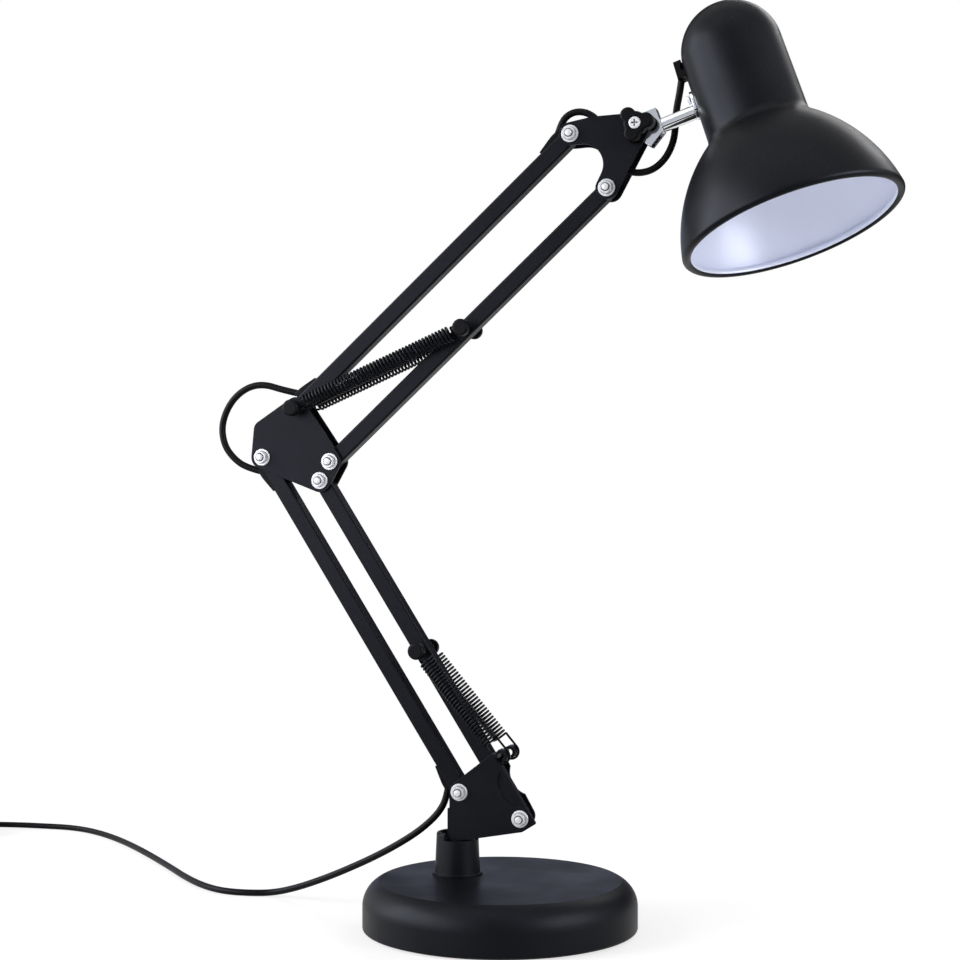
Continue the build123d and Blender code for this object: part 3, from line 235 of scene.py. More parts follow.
def grain_effect():
    """Fine unevenness of a sprayed or moulded skin: a height, and a slow variation."""
    tree, given, result = effect("Fine Grain", "Scale", 900.0, "Height", "Variation")
    fine = noise(tree, detail=3.0, roughness=0.6)
    broad = noise(tree, scale=28.0, detail=2.0)
    tree.links.new(given.outputs["Scale"], fine.inputs["Scale"])
    tree.links.new(fine.outputs["Fac"], result.inputs["Height"])
    tree.links.new(broad.outputs["Fac"], result.inputs["Variation"])
    return tree


def edge_effect():
    """Rounded normal at edges, and a broken mask of where edges are rubbed."""
    tree, given, result = effect("Rubbed Edge", "Radius", 0.4 * MM, "Normal", "Edge")
    rounded = add(tree, "ShaderNodeBevel", samples=6)
    tree.links.new(given.outputs["Radius"], rounded.inputs["Radius"])
    surface = add(tree, "ShaderNodeNewGeometry")
    facing = add(tree, "ShaderNodeVectorMath", operation="DOT_PRODUCT")
    tree.links.new(rounded.outputs["Normal"], facing.inputs[0])
    tree.links.new(surface.outputs["Normal"], facing.inputs[1])
    sharp = ramp(tree, facing.outputs["Value"], 0.97, 0.75)
    patches = noise(tree, scale=160.0, detail=3.0)
    broken = ramp(tree, patches.outputs["Fac"], 0.42, 0.62)
    tree.links.new(rounded.outputs["Normal"], result.inputs["Normal"])
    tree.links.new(combined(tree, "MULTIPLY", sharp, broken), result.inputs["Edge"])
    return tree


def dust_effect():
    """Specks of dust, thicker on what faces up."""
    tree, given, result = effect("Settled Dust", "Amount", 0.5, "Mask")
    specks = noise(tree, scale=700.0, detail=2.0, roughness=0.7)
    few = ramp(tree, specks.outputs["Fac"], 0.60, 0.80)
    surface = add(tree, "ShaderNodeNewGeometry")
    split = add(tree, "ShaderNodeSeparateXYZ")
    tree.links.new(surface.outputs["Normal"], split.inputs["Vector"])
    upward = ramp(tree, split.outputs["Z"], -0.2, 1.0, 0.15, 1.0)
    settled = combined(tree, "MULTIPLY", few, upward)
    tree.links.new(combined(tree, "MULTIPLY", settled, given.outputs["Amount"]), result.inputs["Mask"])
    return tree


def painted_corner_shade_effect():
    """Mask of painted shade in corners: one on open metal, and zero deep in a narrow corner, where the
    colour is painted dark.
    """
    tree, given, result = effect("Painted Corner Shade", "Reach", 1.5 * MM, "Open")
    around = add(tree, "ShaderNodeAmbientOcclusion", samples=8)
    tree.links.new(given.outputs["Reach"], around.inputs["Distance"])
    tree.links.new(ramp(tree, around.outputs["AO"], 0.25, 0.85), result.inputs["Open"])
    return tree


def streak_effect():
    """Drawn or turned metal: fine streaks across one axis, and cloudy plating."""
    tree, given, result = effect("Metal Streaks", "Scale", 220.0, "Height", "Cloud")
    place = add(tree, "ShaderNodeTexCoord")
    stretch = add(tree, "ShaderNodeMapping")
    stretch.inputs["Scale"].default_value = (1.0, 14.0, 1.0)
    tree.links.new(place.outputs["Object"], stretch.inputs["Vector"])
    streaks = noise(tree, stretch.outputs["Vector"], detail=2.0)
    tree.links.new(given.outputs["Scale"], streaks.inputs["Scale"])
    cloud = noise(tree, scale=90.0, detail=3.0)
    tree.links.new(streaks.outputs["Fac"], result.inputs["Height"])
    tree.links.new(cloud.outputs["Fac"], result.inputs["Cloud"])
    return tree


# Materials
def material(name, **constants):
    """Material with one Principled shader and constants set on its sockets."""
    made = bpy.data.materials.new(name)
    made.use_nodes = True
    shader = made.node_tree.nodes["Principled BSDF"]
    for key, value in constants.items():
        shader.inputs[key.replace("_", " ").title().replace("Ior", "IOR")].default_value = value
    return made, made.node_tree, shader


def rgba(values):
    return (*values, 1.0)


def toned(values, share):
    """Colour made darker by a share."""
    return tuple(value * share for value in values)


def blend_colour(tree, mask, first, second):
    """Colour socket that goes from the first to the second with a mask. Each is a colour or a socket."""
    node = add(tree, "ShaderNodeMix", data_type="RGBA")
    tree.links.new(mask, node.inputs["Factor"])
    for socket, value in ((node.inputs[6], first), (node.inputs[7], second)):
        if isinstance(value, bpy.types.NodeSocket):
            tree.links.new(value, socket)
        else:
            socket.default_value = rgba(value)
    return node.outputs[2]


def bumped(tree, shader, height, depth, normal=None):
    """Bump of a depth in metres under the shader's normal."""
    node = add(tree, "ShaderNodeBump", strength=1.0, distance=depth)
    tree.links.new(height, node.inputs["Height"])
    if normal is not None:
        tree.links.new(normal, node.inputs["Normal"])
    tree.links.new(node.outputs["Normal"], shader.inputs["Normal"])


def uneven_roughness(tree, shader, variation, smooth, rough):
    """Roughness that wanders between two values with a slow variation."""
    tree.links.new(ramp(tree, variation, 0.3, 0.7, smooth, rough), shader.inputs["Roughness"])


def painted(name, roughness, grain_depth=0.02 * MM, edge_radius=0.4 * MM, dust_amount=0.2):
    """Satin sprayed paint with orange peel, rubbed edges and a little dust."""
    made, tree, shader = material(name, specular_ior_level=0.08, specular_tint=rgba(finishes().sheen))
    grain = place_effect(tree, grain_effect)
    edge = place_effect(tree, edge_effect, Radius=edge_radius)
    dust = place_effect(tree, dust_effect, Amount=dust_amount)
    base = finishes().paint
    paint = blend_colour(tree, grain["Variation"], toned(base, 0.7), base)
    rubbed = blend_colour(tree, edge["Edge"], paint, finishes().worn)
    dusty = blend_colour(tree, dust["Mask"], rubbed, finishes().dust)
    tree.links.new(dusty, shader.inputs["Base Color"])
    uneven_roughness(tree, shader, grain["Variation"], roughness - 0.05, roughness + 0.05)
    bumped(tree, shader, grain["Height"], grain_depth, edge["Normal"])
    return made


def plated(name, base, roughness, streak_depth, edge_radius=0.3 * MM, metallic=1.0):
    """Bright plated metal with faint streaks, cloudy plating and painted shade that darkens its corners."""
    made, tree, shader = material(name, metallic=metallic, specular_ior_level=0.25)
    streaks = place_effect(tree, streak_effect)
    edge = place_effect(tree, edge_effect, Radius=edge_radius)
    painted_corner_shade = place_effect(tree, painted_corner_shade_effect)
    plating = blend_colour(tree, streaks["Cloud"], toned(base, 0.9), base)
    # Painted shade: the colour goes dark where the occlusion mask finds a narrow corner.
    shaded = blend_colour(tree, painted_corner_shade["Open"], toned(base, 0.1), plating)
    tree.links.new(shaded, shader.inputs["Base Color"])
    cloudy = ramp(tree, streaks["Cloud"], 0.35, 0.65, roughness * 0.7, roughness * 1.4)
    tree.links.new(cloudy, shader.inputs["Roughness"])
    bumped(tree, shader, streaks["Height"], streak_depth, edge["Normal"])
    return made


def moulded(name, base, roughness, grain_depth=0.02 * MM, grain_scale=1400.0):
    """Moulded plastic, rubber or cast metal with a fine skin."""
    made, tree, shader = material(name, specular_ior_level=0.05)
    grain = place_effect(tree, grain_effect, Scale=grain_scale)
    dust = place_effect(tree, dust_effect, Amount=0.25)
    edge = place_effect(tree, edge_effect, Radius=0.3 * MM)
    clean = blend_colour(tree, grain["Variation"], toned(base, 0.75), base)
    dusty = blend_colour(tree, dust["Mask"], clean, finishes().dust)
    tree.links.new(dusty, shader.inputs["Base Color"])
    uneven_roughness(tree, shader, grain["Variation"], roughness - 0.06, roughness + 0.06)
    bumped(tree, shader, grain["Height"], grain_depth, edge["Normal"])
    return made


def base_paint():
    return painted("base_satin_black", roughness=0.42, grain_depth=0.03 * MM, dust_amount=0.1)


def frame_paint():
    return painted("frame_satin_black", roughness=0.36)


def shade_paint():
    return painted("shade_satin_black", roughness=0.38, edge_radius=0.3 * MM)


def shade_enamel():
    """White enamel inside the shade."""
    made, tree, shader = material("shade_white_enamel", specular_ior_level=0.5)
    grain = place_effect(tree, grain_effect, Scale=600.0)
    white = finishes().shade_white
    enamel = blend_colour(tree, grain["Variation"], toned(white, 0.97), white)
    tree.links.new(enamel, shader.inputs["Base Color"])
    uneven_roughness(tree, shader, grain["Variation"], 0.30, 0.38)
    bumped(tree, shader, grain["Height"], 0.02 * MM)
    return made


def zinc_plate():
    return plated("bright_zinc", finishes().zinc, roughness=0.2, streak_depth=0.003 * MM,
                  edge_radius=0.2 * MM, metallic=0.06)


def chrome_plate():
    return plated("bright_chrome", finishes().chrome, roughness=0.09, streak_depth=0.005 * MM,
                  edge_radius=0.4 * MM)


def spring_black():
    return painted("spring_black", roughness=0.34, grain_depth=0.01 * MM, edge_radius=0.1 * MM,
                   dust_amount=0.05)


def black_plastic():
    return moulded("black_plastic", finishes().plastic, roughness=0.40)


def cord_sheath():
    return moulded("cord_sheath", finishes().sheath, roughness=0.38, grain_depth=0.01 * MM,
                   grain_scale=700.0)


def cast_iron():
    return moulded("cast_iron", finishes().iron, roughness=0.75, grain_depth=0.2 * MM, grain_scale=300.0)


def pad_rubber():
    return moulded("pad_rubber", finishes().rubber, roughness=0.85, grain_depth=0.08 * MM,
                   grain_scale=500.0)


def white_nylon():
    return moulded("white_nylon", finishes().nylon, roughness=0.5)


def opal_glass():
    """White bulb glass with a soft inner coating."""
    made, tree, shader = material("opal_glass", transmission_weight=0.25, coat_weight=0.4,
                                  coat_roughness=0.05)
    grain = place_effect(tree, grain_effect, Scale=60.0)
    glass = finishes().bulb
    coating = blend_colour(tree, grain["Variation"], toned(glass, 0.933), glass)
    tree.links.new(coating, shader.inputs["Base Color"])
    uneven_roughness(tree, shader, grain["Variation"], 0.30, 0.36)
    return made


def bulb_cap_metal():
    return plated("bulb_cap_metal", finishes().cap, roughness=0.30, streak_depth=0.04 * MM)


def pin_plate():
    return plated("pin_plate", finishes().brass, roughness=0.22, streak_depth=0.02 * MM)


# Mesh helpers
SHARP_EDGE = radians(35)


def placed(name, data):
    """New object in the scene."""
    made = bpy.data.objects.new(name, data)
    bpy.context.scene.collection.objects.link(made)
    return made


def new_piece(name, work, *makers):
    """Piece from a bmesh, shaded smooth up to sharp edges, with its finishes."""
    bmesh.ops.recalc_face_normals(work, faces=work.faces)
    for edge in work.edges:
        edge.smooth = len(edge.link_faces) == 2 and edge.calc_face_angle() < SHARP_EDGE
    for face in work.faces:
        face.smooth = True
    mesh = bpy.data.meshes.new(name)
    work.to_mesh(mesh)
    work.free()
    for maker in makers:
        mesh.materials.append(made_once(maker))
    return placed(name, mesh)


def ring_of(work, centre, across, upward, radii):
    """Ring of points, each at its own radius."""
    ring = []
    for count, radius in enumerate(radii):
        turn = 2 * pi * count / len(radii)
        ring.append(work.verts.new(centre + (across * cos(turn) + upward * sin(turn)) * radius))
    return ring


def skin(work, first, second, slot=0):
    """Faces between two rings of as many points."""
    count = len(first)
    for i in range(count):
        face = work.faces.new((first[i], first[(i + 1) % count], second[(i + 1) % count], second[i]))
        face.material_index = slot


def add_tube(work, points, radius, sides):
    """Round tube along points, with flat ends."""
    last = len(points) - 1
    tangents = [(points[min(i + 1, last)] - points[max(i - 1, 0)]).normalized() for i in range(last + 1)]
    across = tangents[0].orthogonal().normalized()
    previous = None
    for point, tangent in zip(points, tangents):
        across = (across - tangent * across.dot(tangent)).normalized()
        ring = ring_of(work, point, across, tangent.cross(across), [radius] * sides)
        if previous:
            skin(work, previous, ring)
        else:
            work.faces.new(ring)
        previous = ring
    work.faces.new(reversed(previous))


def add_turned(work, centre, axis, profile, sides, slots=None):
    """Surface turned about an axis, from pairs of radius and height. A radius of zero closes it."""
    axis = axis.normalized()
    across = axis.orthogonal().normalized()
    upward = axis.cross(across)
    rings = []
    for radius, height in profile:
        middle = centre + axis * height
        if radius == 0:
            rings.append([work.verts.new(middle)])
        else:
            rings.append(ring_of(work, middle, across, upward, [radius] * sides))
    for index, (first, second) in enumerate(zip(rings, rings[1:])):
        slot = slots[index] if slots else 0
        if len(first) == len(second):
            skin(work, first, second, slot)
            continue
        tip, ring = (first[0], second) if len(first) == 1 else (second[0], first)
        for i in range(sides):
            face = work.faces.new((tip, ring[i], ring[(i + 1) % sides]))
            face.material_index = slot


def arc(centre, radius, start, end, steps):
    """Points of a section's arc, from one angle to another in degrees."""
    angles = [radians(start + (end - start) * i / steps) for i in range(steps + 1)]
    return [(centre[0] + radius * cos(a), centre[1] + radius * sin(a)) for a in angles]


# Shade
SHADE_ROLL = radians(-8.9)
SHADE_AHEAD = 65.6 * MM
ROD_ABOVE_CREASE = 27.1 * MM
NECK_LENGTH = 53.6 * MM
NECK_TOP = 30.0 * MM
NECK_FOOT = 30.6 * MM
CREASE_BEND = 4.5 * MM
BELL_TOP = 31.9 * MM
BELL_MIDDLE = (50.5 * MM, -20.0 * MM)
BELL_END = (66.7 * MM, -59.8 * MM)
HEM_RADIUS = 2.6 * MM
HEM_BLACK_TO = -147.0
HEM_END = -250.0
HEM_GROOVE = (64.7 * MM, -57.9 * MM)
HEM_TOP = -57.5 * MM
DOME_STEPS = 24
CREASE_STEPS = 8
BELL_STEPS = 40
BLACK_HEM_STEPS = 12
WHITE_HEM_STEPS = 16
OUTSIDE = 0
INSIDE = 1
ACROSS = Vector((0, 1, 0))


def circle_through(first, second, third):
    """Centre and radius of the circle through three points of a section."""
    a, b, c = complex(*first), complex(*second), complex(*third)
    turn = (c - a) / (b - a)
    centre = a + (b - a) * (turn - abs(turn) ** 2) / (2j * turn.imag)
    return (centre.real, centre.imag), abs(centre - a)


def shade_section(inset, bottom):
    """Section of the shade from the top of the dome down to a height, drawn in by an inset."""
    centre, radius = circle_through((BELL_TOP, 0.0), BELL_MIDDLE, BELL_END)
    reach = radius - inset
    corner_angle = acos((NECK_FOOT - inset - centre[0]) / reach)
    corner = Vector((NECK_FOOT - inset, centre[1] + reach * sin(corner_angle)))
    end_angle = asin((bottom - centre[1]) / reach)
    bell = arc(centre, reach, degrees(corner_angle - CREASE_BEND / reach), degrees(end_angle), BELL_STEPS)
    dome = arc((0, NECK_LENGTH), NECK_TOP - inset, 90, 0, DOME_STEPS)
    dome[0] = (0, dome[0][1])
    neck_top = Vector(dome[-1])
    neck_end = corner + (neck_top - corner).normalized() * CREASE_BEND
    neck = [tuple(neck_top.lerp(neck_end, t)) for t in (0.25, 0.5, 0.75, 1.0)]
    crease = []
    for step in range(1, CREASE_STEPS):
        t = step / CREASE_STEPS
        crease.append(tuple(neck_end * (1 - t) ** 2 + corner * 2 * t * (1 - t) + Vector(bell[0]) * t**2))
    return dome + neck + crease + bell


def shade_axes():
    """Origin of the shade's frame at the crease, and its axis towards the dome."""
    level_up = ROD_WAY.cross(ACROSS)
    if level_up.z < 0:
        level_up = -level_up
    axis = level_up * cos(SHADE_ROLL) - ACROSS * sin(SHADE_ROLL)
    return PIVOT["shade_roll"] + ROD_WAY * SHADE_AHEAD - axis * ROD_ABOVE_CREASE, axis


@in_add_on
class LAMP_OT_shade(bpy.types.Operator):
    """Spun shade, black outside and white inside, with a rolled hem"""

    bl_idname = "lamp.shade"
    bl_label = "Shade"

    def execute(self, context):
        outer = shade_section(0.0, BELL_END[1])
        inner = shade_section(sizes().shade_wall, HEM_TOP)
        hem_centre = (BELL_END[0] - HEM_RADIUS, BELL_END[1])
        black_hem = arc(hem_centre, HEM_RADIUS, 0.0, HEM_BLACK_TO, BLACK_HEM_STEPS)[1:]
        white_hem = arc(hem_centre, HEM_RADIUS, HEM_BLACK_TO, HEM_END, WHITE_HEM_STEPS)[1:]
        profile = outer + black_hem + white_hem + [HEM_GROOVE] + inner[::-1]
        black_count = len(outer) + len(black_hem) - 1
        slots = [OUTSIDE] * black_count + [INSIDE] * (len(profile) - black_count)
        origin, axis = shade_axes()
        work = bmesh.new()
        add_turned(work, origin, axis, profile, sizes().shade_segments, slots)
        piece = new_piece("shade_shell", work, shade_paint, shade_enamel)
        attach(piece, "shade")
        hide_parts("shade")
        return {"FINISHED"}


# Pivot fasteners
PLATE_OUTER = 7.2 * MM
WASHER_THICKNESS = 1.0 * MM
NUT_THICKNESS = 3.2 * MM
HEAD_THICKNESS = 2.8 * MM
BOLT_END = 1.3 * MM
BOLT_TIP = 0.4 * MM
THREAD_PITCH = 0.7 * MM
THREAD_DEPTH = 0.25 * MM
# Places of a thread's valley and crest, as shares of the pitch
THREAD_VALLEY = 0.3
THREAD_CREST = 0.65
WASHER_BEVEL = 0.2 * MM
NUT_CHAMFER = 0.45 * MM
HEAD_CHAMFER = 0.4 * MM
# A hexagon's ends as shares of its corner, and a countersink as a share of its bore
HEXAGON_FOOT = 0.93
HEXAGON_CROWN = 0.90
COUNTERSINK = 1.4
HEXAGON_SIDES = 6
FASTENER_SIDES = 40


def add_hexagon(work, centre, axis, flats, low, high, chamfer, bore=0.0):
    """Chamfered hexagon head along an axis, or a nut with a countersunk bore."""
    across = Vector((0, 0, 1))
    upward = axis.cross(across)
    corner = flats / sqrt(3)
    rings = []
    steps = ((low, HEXAGON_FOOT), (low + chamfer, 1.0), (high - chamfer, 1.0), (high, HEXAGON_CROWN))
    for height, share in steps:
        radii = [corner * share, min(flats / 2, corner * share)] * HEXAGON_SIDES
        rings.append(ring_of(work, centre + axis * height, across, upward, radii))
    if bore:
        for reach, height in ((bore * COUNTERSINK, high), (bore, high - bore * (COUNTERSINK - 1))):
            radii = [reach] * 2 * HEXAGON_SIDES
            rings.append(ring_of(work, centre + axis * height, across, upward, radii))
    for first, second in zip(rings, rings[1:]):
        skin(work, first, second)
    work.faces.new(rings[-1])
    work.faces.new(reversed(rings[0]))


def add_fastener(work, point):
    """Bolt with a threaded end, nut at the front, head at the back, and a washer on each side."""
    front = -ACROSS
    radius = sizes().bolt_radius
    washer_outer = PLATE_OUTER + WASHER_THICKNESS
    reach = sizes().washer_radius
    flat = reach - WASHER_BEVEL
    washer = [(radius, PLATE_OUTER), (flat, PLATE_OUTER), (reach, PLATE_OUTER + WASHER_BEVEL),
              (reach, washer_outer - WASHER_BEVEL), (flat, washer_outer), (radius, washer_outer)]
    for way in (front, -front):
        add_turned(work, point, way, washer, FASTENER_SIDES)
    flats = sizes().nut_flats
    nut_end = washer_outer + NUT_THICKNESS
    add_hexagon(work, point, front, flats, washer_outer, nut_end, NUT_CHAMFER, radius)
    add_hexagon(work, point, -front, flats, washer_outer, washer_outer + HEAD_THICKNESS, HEAD_CHAMFER)
    thread = [(radius, -washer_outer), (radius, nut_end)]
    turns = ceil(BOLT_END / THREAD_PITCH)
    for count in range(turns):
        height = nut_end + count * THREAD_PITCH
        thread.append((radius - THREAD_DEPTH, height + THREAD_VALLEY * THREAD_PITCH))
        thread.append((radius, height + THREAD_CREST * THREAD_PITCH))
    thread += [(radius - BOLT_TIP, nut_end + BOLT_END), (0, nut_end + BOLT_END)]
    add_turned(work, point, front, thread, FASTENER_SIDES)


@in_add_on
class LAMP_OT_fasteners(bpy.types.Operator):
    """Bolts, nuts and washers at the pivots of each bracket"""

    bl_idname = "lamp.fasteners"
    bl_label = "Pivot fasteners"

    def execute(self, context):
        groups = (
            ("lower_bracket", "lower_bracket", (LOWER_REAR, LOWER_FRONT)),
            ("elbow", "elbow", (ELBOW_REAR, ELBOW_FRONT, UPPER_FRONT)),
            ("head", "head_bracket", (HEAD_REAR, HEAD_FRONT)),
        )
        for label, body, points in groups:
            work = bmesh.new()
            for point in points:
                add_fastener(work, point)
            name = f"{label}_bolt_set"
            piece = new_piece(name, work, zinc_plate)
            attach(piece, body)
            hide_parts(f"{label}_fasteners")
        return {"FINISHED"}


# Springs
HOOK_FROM_PIVOT = Vector((-10.2, 0, 38.0)) * MM
# A loop's reach and sweep
HOOK_LOOP = (4.6 * MM, radians(197))
PIN_LOOP = (3.0 * MM, radians(300))
# Where the coils start from the lower end, and stop from the upper end
LOWER_COIL = (8.6 * MM, 5.0 * MM)
UPPER_COIL = (6.0 * MM, 5.5 * MM)
ENTRY_RISE = 2.4 * MM
POINTS_PER_TURN = 20
ENTRY_POINTS = 10
LOOP_POINTS = 24
WIRE_SIDES = 8


def spring_end(anchor, way, loop, coil_from, coil_radius):
    """Loop round an anchor and the wire's smooth run into the coil, which starts a quarter turn on."""
    side = ACROSS.cross(way)
    reach, sweep = loop
    points = []
    for step in range(LOOP_POINTS + 1):
        turn = sweep * (1 - step / LOOP_POINTS)
        points.append(anchor + side * reach * cos(turn) - way * reach * sin(turn))
    for step in range(ENTRY_POINTS):
        share = step / ENTRY_POINTS
        angle = pi / 2 * share**2
        radius = reach + (coil_radius - reach) * share
        height = coil_from + ENTRY_RISE * (2 * share - share**2)
        points.append(anchor + way * height + (side * cos(angle) + ACROSS * sin(angle)) * radius)
    return points


def spring_path(low, high, low_loop, high_loop, coil_from, coil_margin, turns, coil_radius):
    """Points of a spring: a loop round the hook, the coils, and a loop round the pin."""
    axis = (high - low).normalized()
    side = ACROSS.cross(axis)
    start = coil_from + ENTRY_RISE
    rise = (high - low).length - coil_margin - ENTRY_RISE - start
    coil = []
    for step in range(1, turns * POINTS_PER_TURN):
        turned = step / POINTS_PER_TURN
        angle = 2 * pi * turned
        radial = ACROSS * cos(angle) - side * sin(angle)
        coil.append(low + axis * (start + rise * turned / turns) + radial * coil_radius)
    first = spring_end(low, axis, low_loop, coil_from, coil_radius)
    last = spring_end(high, -axis, high_loop, coil_margin, coil_radius)
    return first + coil + last[::-1]


@in_add_on
class LAMP_OT_springs(bpy.types.Operator):
    """Extension springs with their end loops, at both sides of the front arms"""

    bl_idname = "lamp.springs"
    bl_label = "Springs"

    def execute(self, context):
        made = sizes()
        lower_way = (ELBOW_REAR - LOWER_REAR).normalized()
        upper_way = (HEAD_REAR - UPPER_REAR).normalized()
        hook = LOWER_FRONT + HOOK_FROM_PIVOT
        lower_pin = LOWER_FRONT + lower_way * made.spring_station
        upper_pin = UPPER_FRONT + upper_way * made.spring_station
        rows = (
            ("lower", hook, lower_pin, HOOK_LOOP, LOWER_COIL, made.lower_turns,
             "lower_bracket", "lower_front_arm"),
            ("upper", UPPER_REAR, upper_pin, PIN_LOOP, UPPER_COIL, made.upper_turns,
             "elbow", "upper_front_arm"),
        )
        for label, low, high, low_loop, coil, turns, low_body, high_body in rows:
            for side, way in (("front", -1), ("back", 1)):
                offset = Vector((0, way * made.spring_offset, 0))
                path = spring_path(low + offset, high + offset, low_loop, PIN_LOOP, coil[0], coil[1], turns,
                                   made.spring_coil / 2)
                work = bmesh.new()
                add_tube(work, path, made.spring_wire / 2, WIRE_SIDES)
                name = f"{label}_{side}_coil_spring"
                piece = new_piece(name, work, spring_black)
                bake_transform(piece)
                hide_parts(f"{label}_spring_{side}")
        return {"FINISHED"}


# Cords: the chosen points of each route in millimetres, with Y from the arm plane
MOUTH_ALONG = 6.5 * MM
MOUTH_OUT = 6.6 * MM
ELBOW_ROUTE_LOW = [(-176.0, 0, 282.6), (-182.9, 0, 291.6), (-184.6, 0, 304.6)]
ELBOW_ROUTE_HIGH = [(-178.6, 0, 318.4), (-168.2, 0, 327.2), (-156.4, 0, 329.6)]
HEAD_ARC_ROUTE = [(39.7, 0, 488.9), (45.7, 0, 490.4), (51.9, 0, 488.9), (57.0, 0, 485.0),
                  (60.4, 0, 479.2)]
HEAD_LOOP_LOW = [(66.4, 0, 461.0), (72.8, 0, 454.6), (81.0, 0, 451.6), (90.6, 0.6, 453.2),
                 (98.0, 3.2, 460.2)]
HEAD_LOOP_HIGH = [(102.0, 7.4, 470.6), (102.8, 9.8, 481.2), (103.4, 8.8, 490.2)]
DROP_HIGH = [(-41.6, 0.2, 66.4), (-49.8, 1.4, 58.2)]
DROP_LOW = [(-62.6, 5.0, 48.8), (-83.0, 11.4, 36.8), (-103.8, 18.2, 26.4), (-124.4, 25.8, 16.9)]
TABLE_ROUTE = [(-146.6, 34.0, 8.0), (-166.0, 41.6, 2.1), (-182.4, 36.6, 2.1), (-200.8, 38.4, 2.1),
               (-220.2, 51.6, 2.1), (-241.4, 73.2, 2.1), (-269.6, 107.0, 2.1), (-307.8, 150.6, 2.1),
               (-346.0, 190.0, 2.1), (-378.2, 216.0, 2.1), (-403.2, 227.6, 2.1), (-425.2, 228.4, 2.1),
               (-453.2, 222.2, 3.1)]
COIL_ENTRY = (-490.2, 213.0, 3.1)
# From the coil's end: X, Y, and the share of the fall to the plug's height
TAIL_ROUTE = [(0, -12.0, 0), (-0.9, -24.5, 0.2), (-2.0, -37.0, 0.7), (-2.8, -49.0, 1.0),
              (-3.2, -58.0, 1.0)]
LEAD_OUT = 8.0 * MM
ELBOW_LEAD_OUT = 11.0 * MM
SLANT_LOW = radians(42.0)
SLANT_ELBOW = radians(45.0)
SLANT_UPPER = radians(55.0)
SLANT_HEAD = radians(30.0)
COIL_OUTER = 27.6 * MM
COIL_LAYERS = 4
COIL_PITCH = 4.75 * MM
COIL_END_ANGLE = pi
COIL_WHOLE_TURNS = 8
COIL_POINTS_PER_TURN = 14
PLUG_HEIGHT = 13.8 * MM
GRIP_MOUTH = Vector((-33.6, 0, 48.7)) * MM
GRIP_SLANT = radians(32.0)
GRIP_SIDEWAYS = radians(20.0)
CORD_SIDES = 18


def in_plane(point):
    """Route point in metres, from the arm plane."""
    return Vector((point[0] * MM, point[1] * MM + ARM_PLANE, point[2] * MM))


def out_of_arm(low_pivot, high_pivot, at_low, slant, lead_out):
    """Mouth of a cord hood and a point straight out of it."""
    way = (high_pivot - low_pivot).normalized()
    outward = way.cross(ACROSS).normalized()
    inward = way if at_low else -way
    pivot = low_pivot if at_low else high_pivot
    mouth = pivot + inward * MOUTH_ALONG + outward * MOUTH_OUT
    return [mouth, mouth + (outward * sin(slant) - inward * cos(slant)) * lead_out]


def halves(low_route, high_route):
    """Two routes that meet midway between the last point of one and the first of the other."""
    meeting = (low_route[-1] + high_route[0]) / 2
    return [*low_route, meeting], [meeting, *high_route]


def route_curve(name, points, bevel=0.0):
    """Smooth curve with the route's points as its control points."""
    curve = bpy.data.curves.new(name, "CURVE")
    curve.dimensions = "3D"
    spline = curve.splines.new("NURBS")
    spline.points.add(len(points) - 1)
    for control, point in zip(spline.points, points):
        control.co = (*point, 1.0)
    spline.order_u = 3
    spline.use_endpoint_u = True
    curve.resolution_u = 12
    curve.bevel_depth = bevel
    curve.bevel_resolution = 6
    curve.use_fill_caps = True
    return curve


def line_of(points):
    """Points read along the smooth curve of a route."""
    curve = route_curve("route", points)
    holder = placed("route", curve)
    bpy.context.view_layer.update()
    mesh = bpy.data.meshes.new_from_object(holder)
    line = [vertex.co.copy() for vertex in mesh.vertices]
    bpy.data.objects.remove(holder)
    bpy.data.curves.remove(curve)
    bpy.data.meshes.remove(mesh)
    return line


def coil_points():
    """Points of the put-away coil from its entry to its end, spiralling in and out through its layers."""
    entry = in_plane(COIL_ENTRY)
    arrival = entry - in_plane(TABLE_ROUTE[-1])
    entry_angle = atan2(arrival.y, arrival.x) - pi / 2
    centre = entry - Vector((cos(entry_angle), sin(entry_angle), 0)) * COIL_OUTER
    sweep = 2 * pi * COIL_WHOLE_TURNS + (COIL_END_ANGLE - entry_angle) % (2 * pi)
    layer_sweep = sweep / COIL_LAYERS
    drawn_in = COIL_PITCH * layer_sweep / (2 * pi)
    count = round(sweep / (2 * pi) * COIL_POINTS_PER_TURN)
    points = []
    for step in range(count + 1):
        turned = sweep * step / count
        layer = min(int(turned / layer_sweep), COIL_LAYERS - 1)
        share = turned / layer_sweep - layer
        inward = share if layer % 2 == 0 else 1 - share
        nearest = round(turned / layer_sweep)
        height = layer
        if 0 < nearest < COIL_LAYERS:
            climbed = min(1.0, max(0.0, (turned - nearest * layer_sweep) / pi + 0.5))
            height = nearest - 1 + climbed * climbed * (3 - 2 * climbed)
        radius = COIL_OUTER - drawn_in * inward
        angle = entry_angle + turned
        points.append(Vector((centre.x + radius * cos(angle), centre.y + radius * sin(angle),
                              entry.z + COIL_PITCH * height)))
    return points


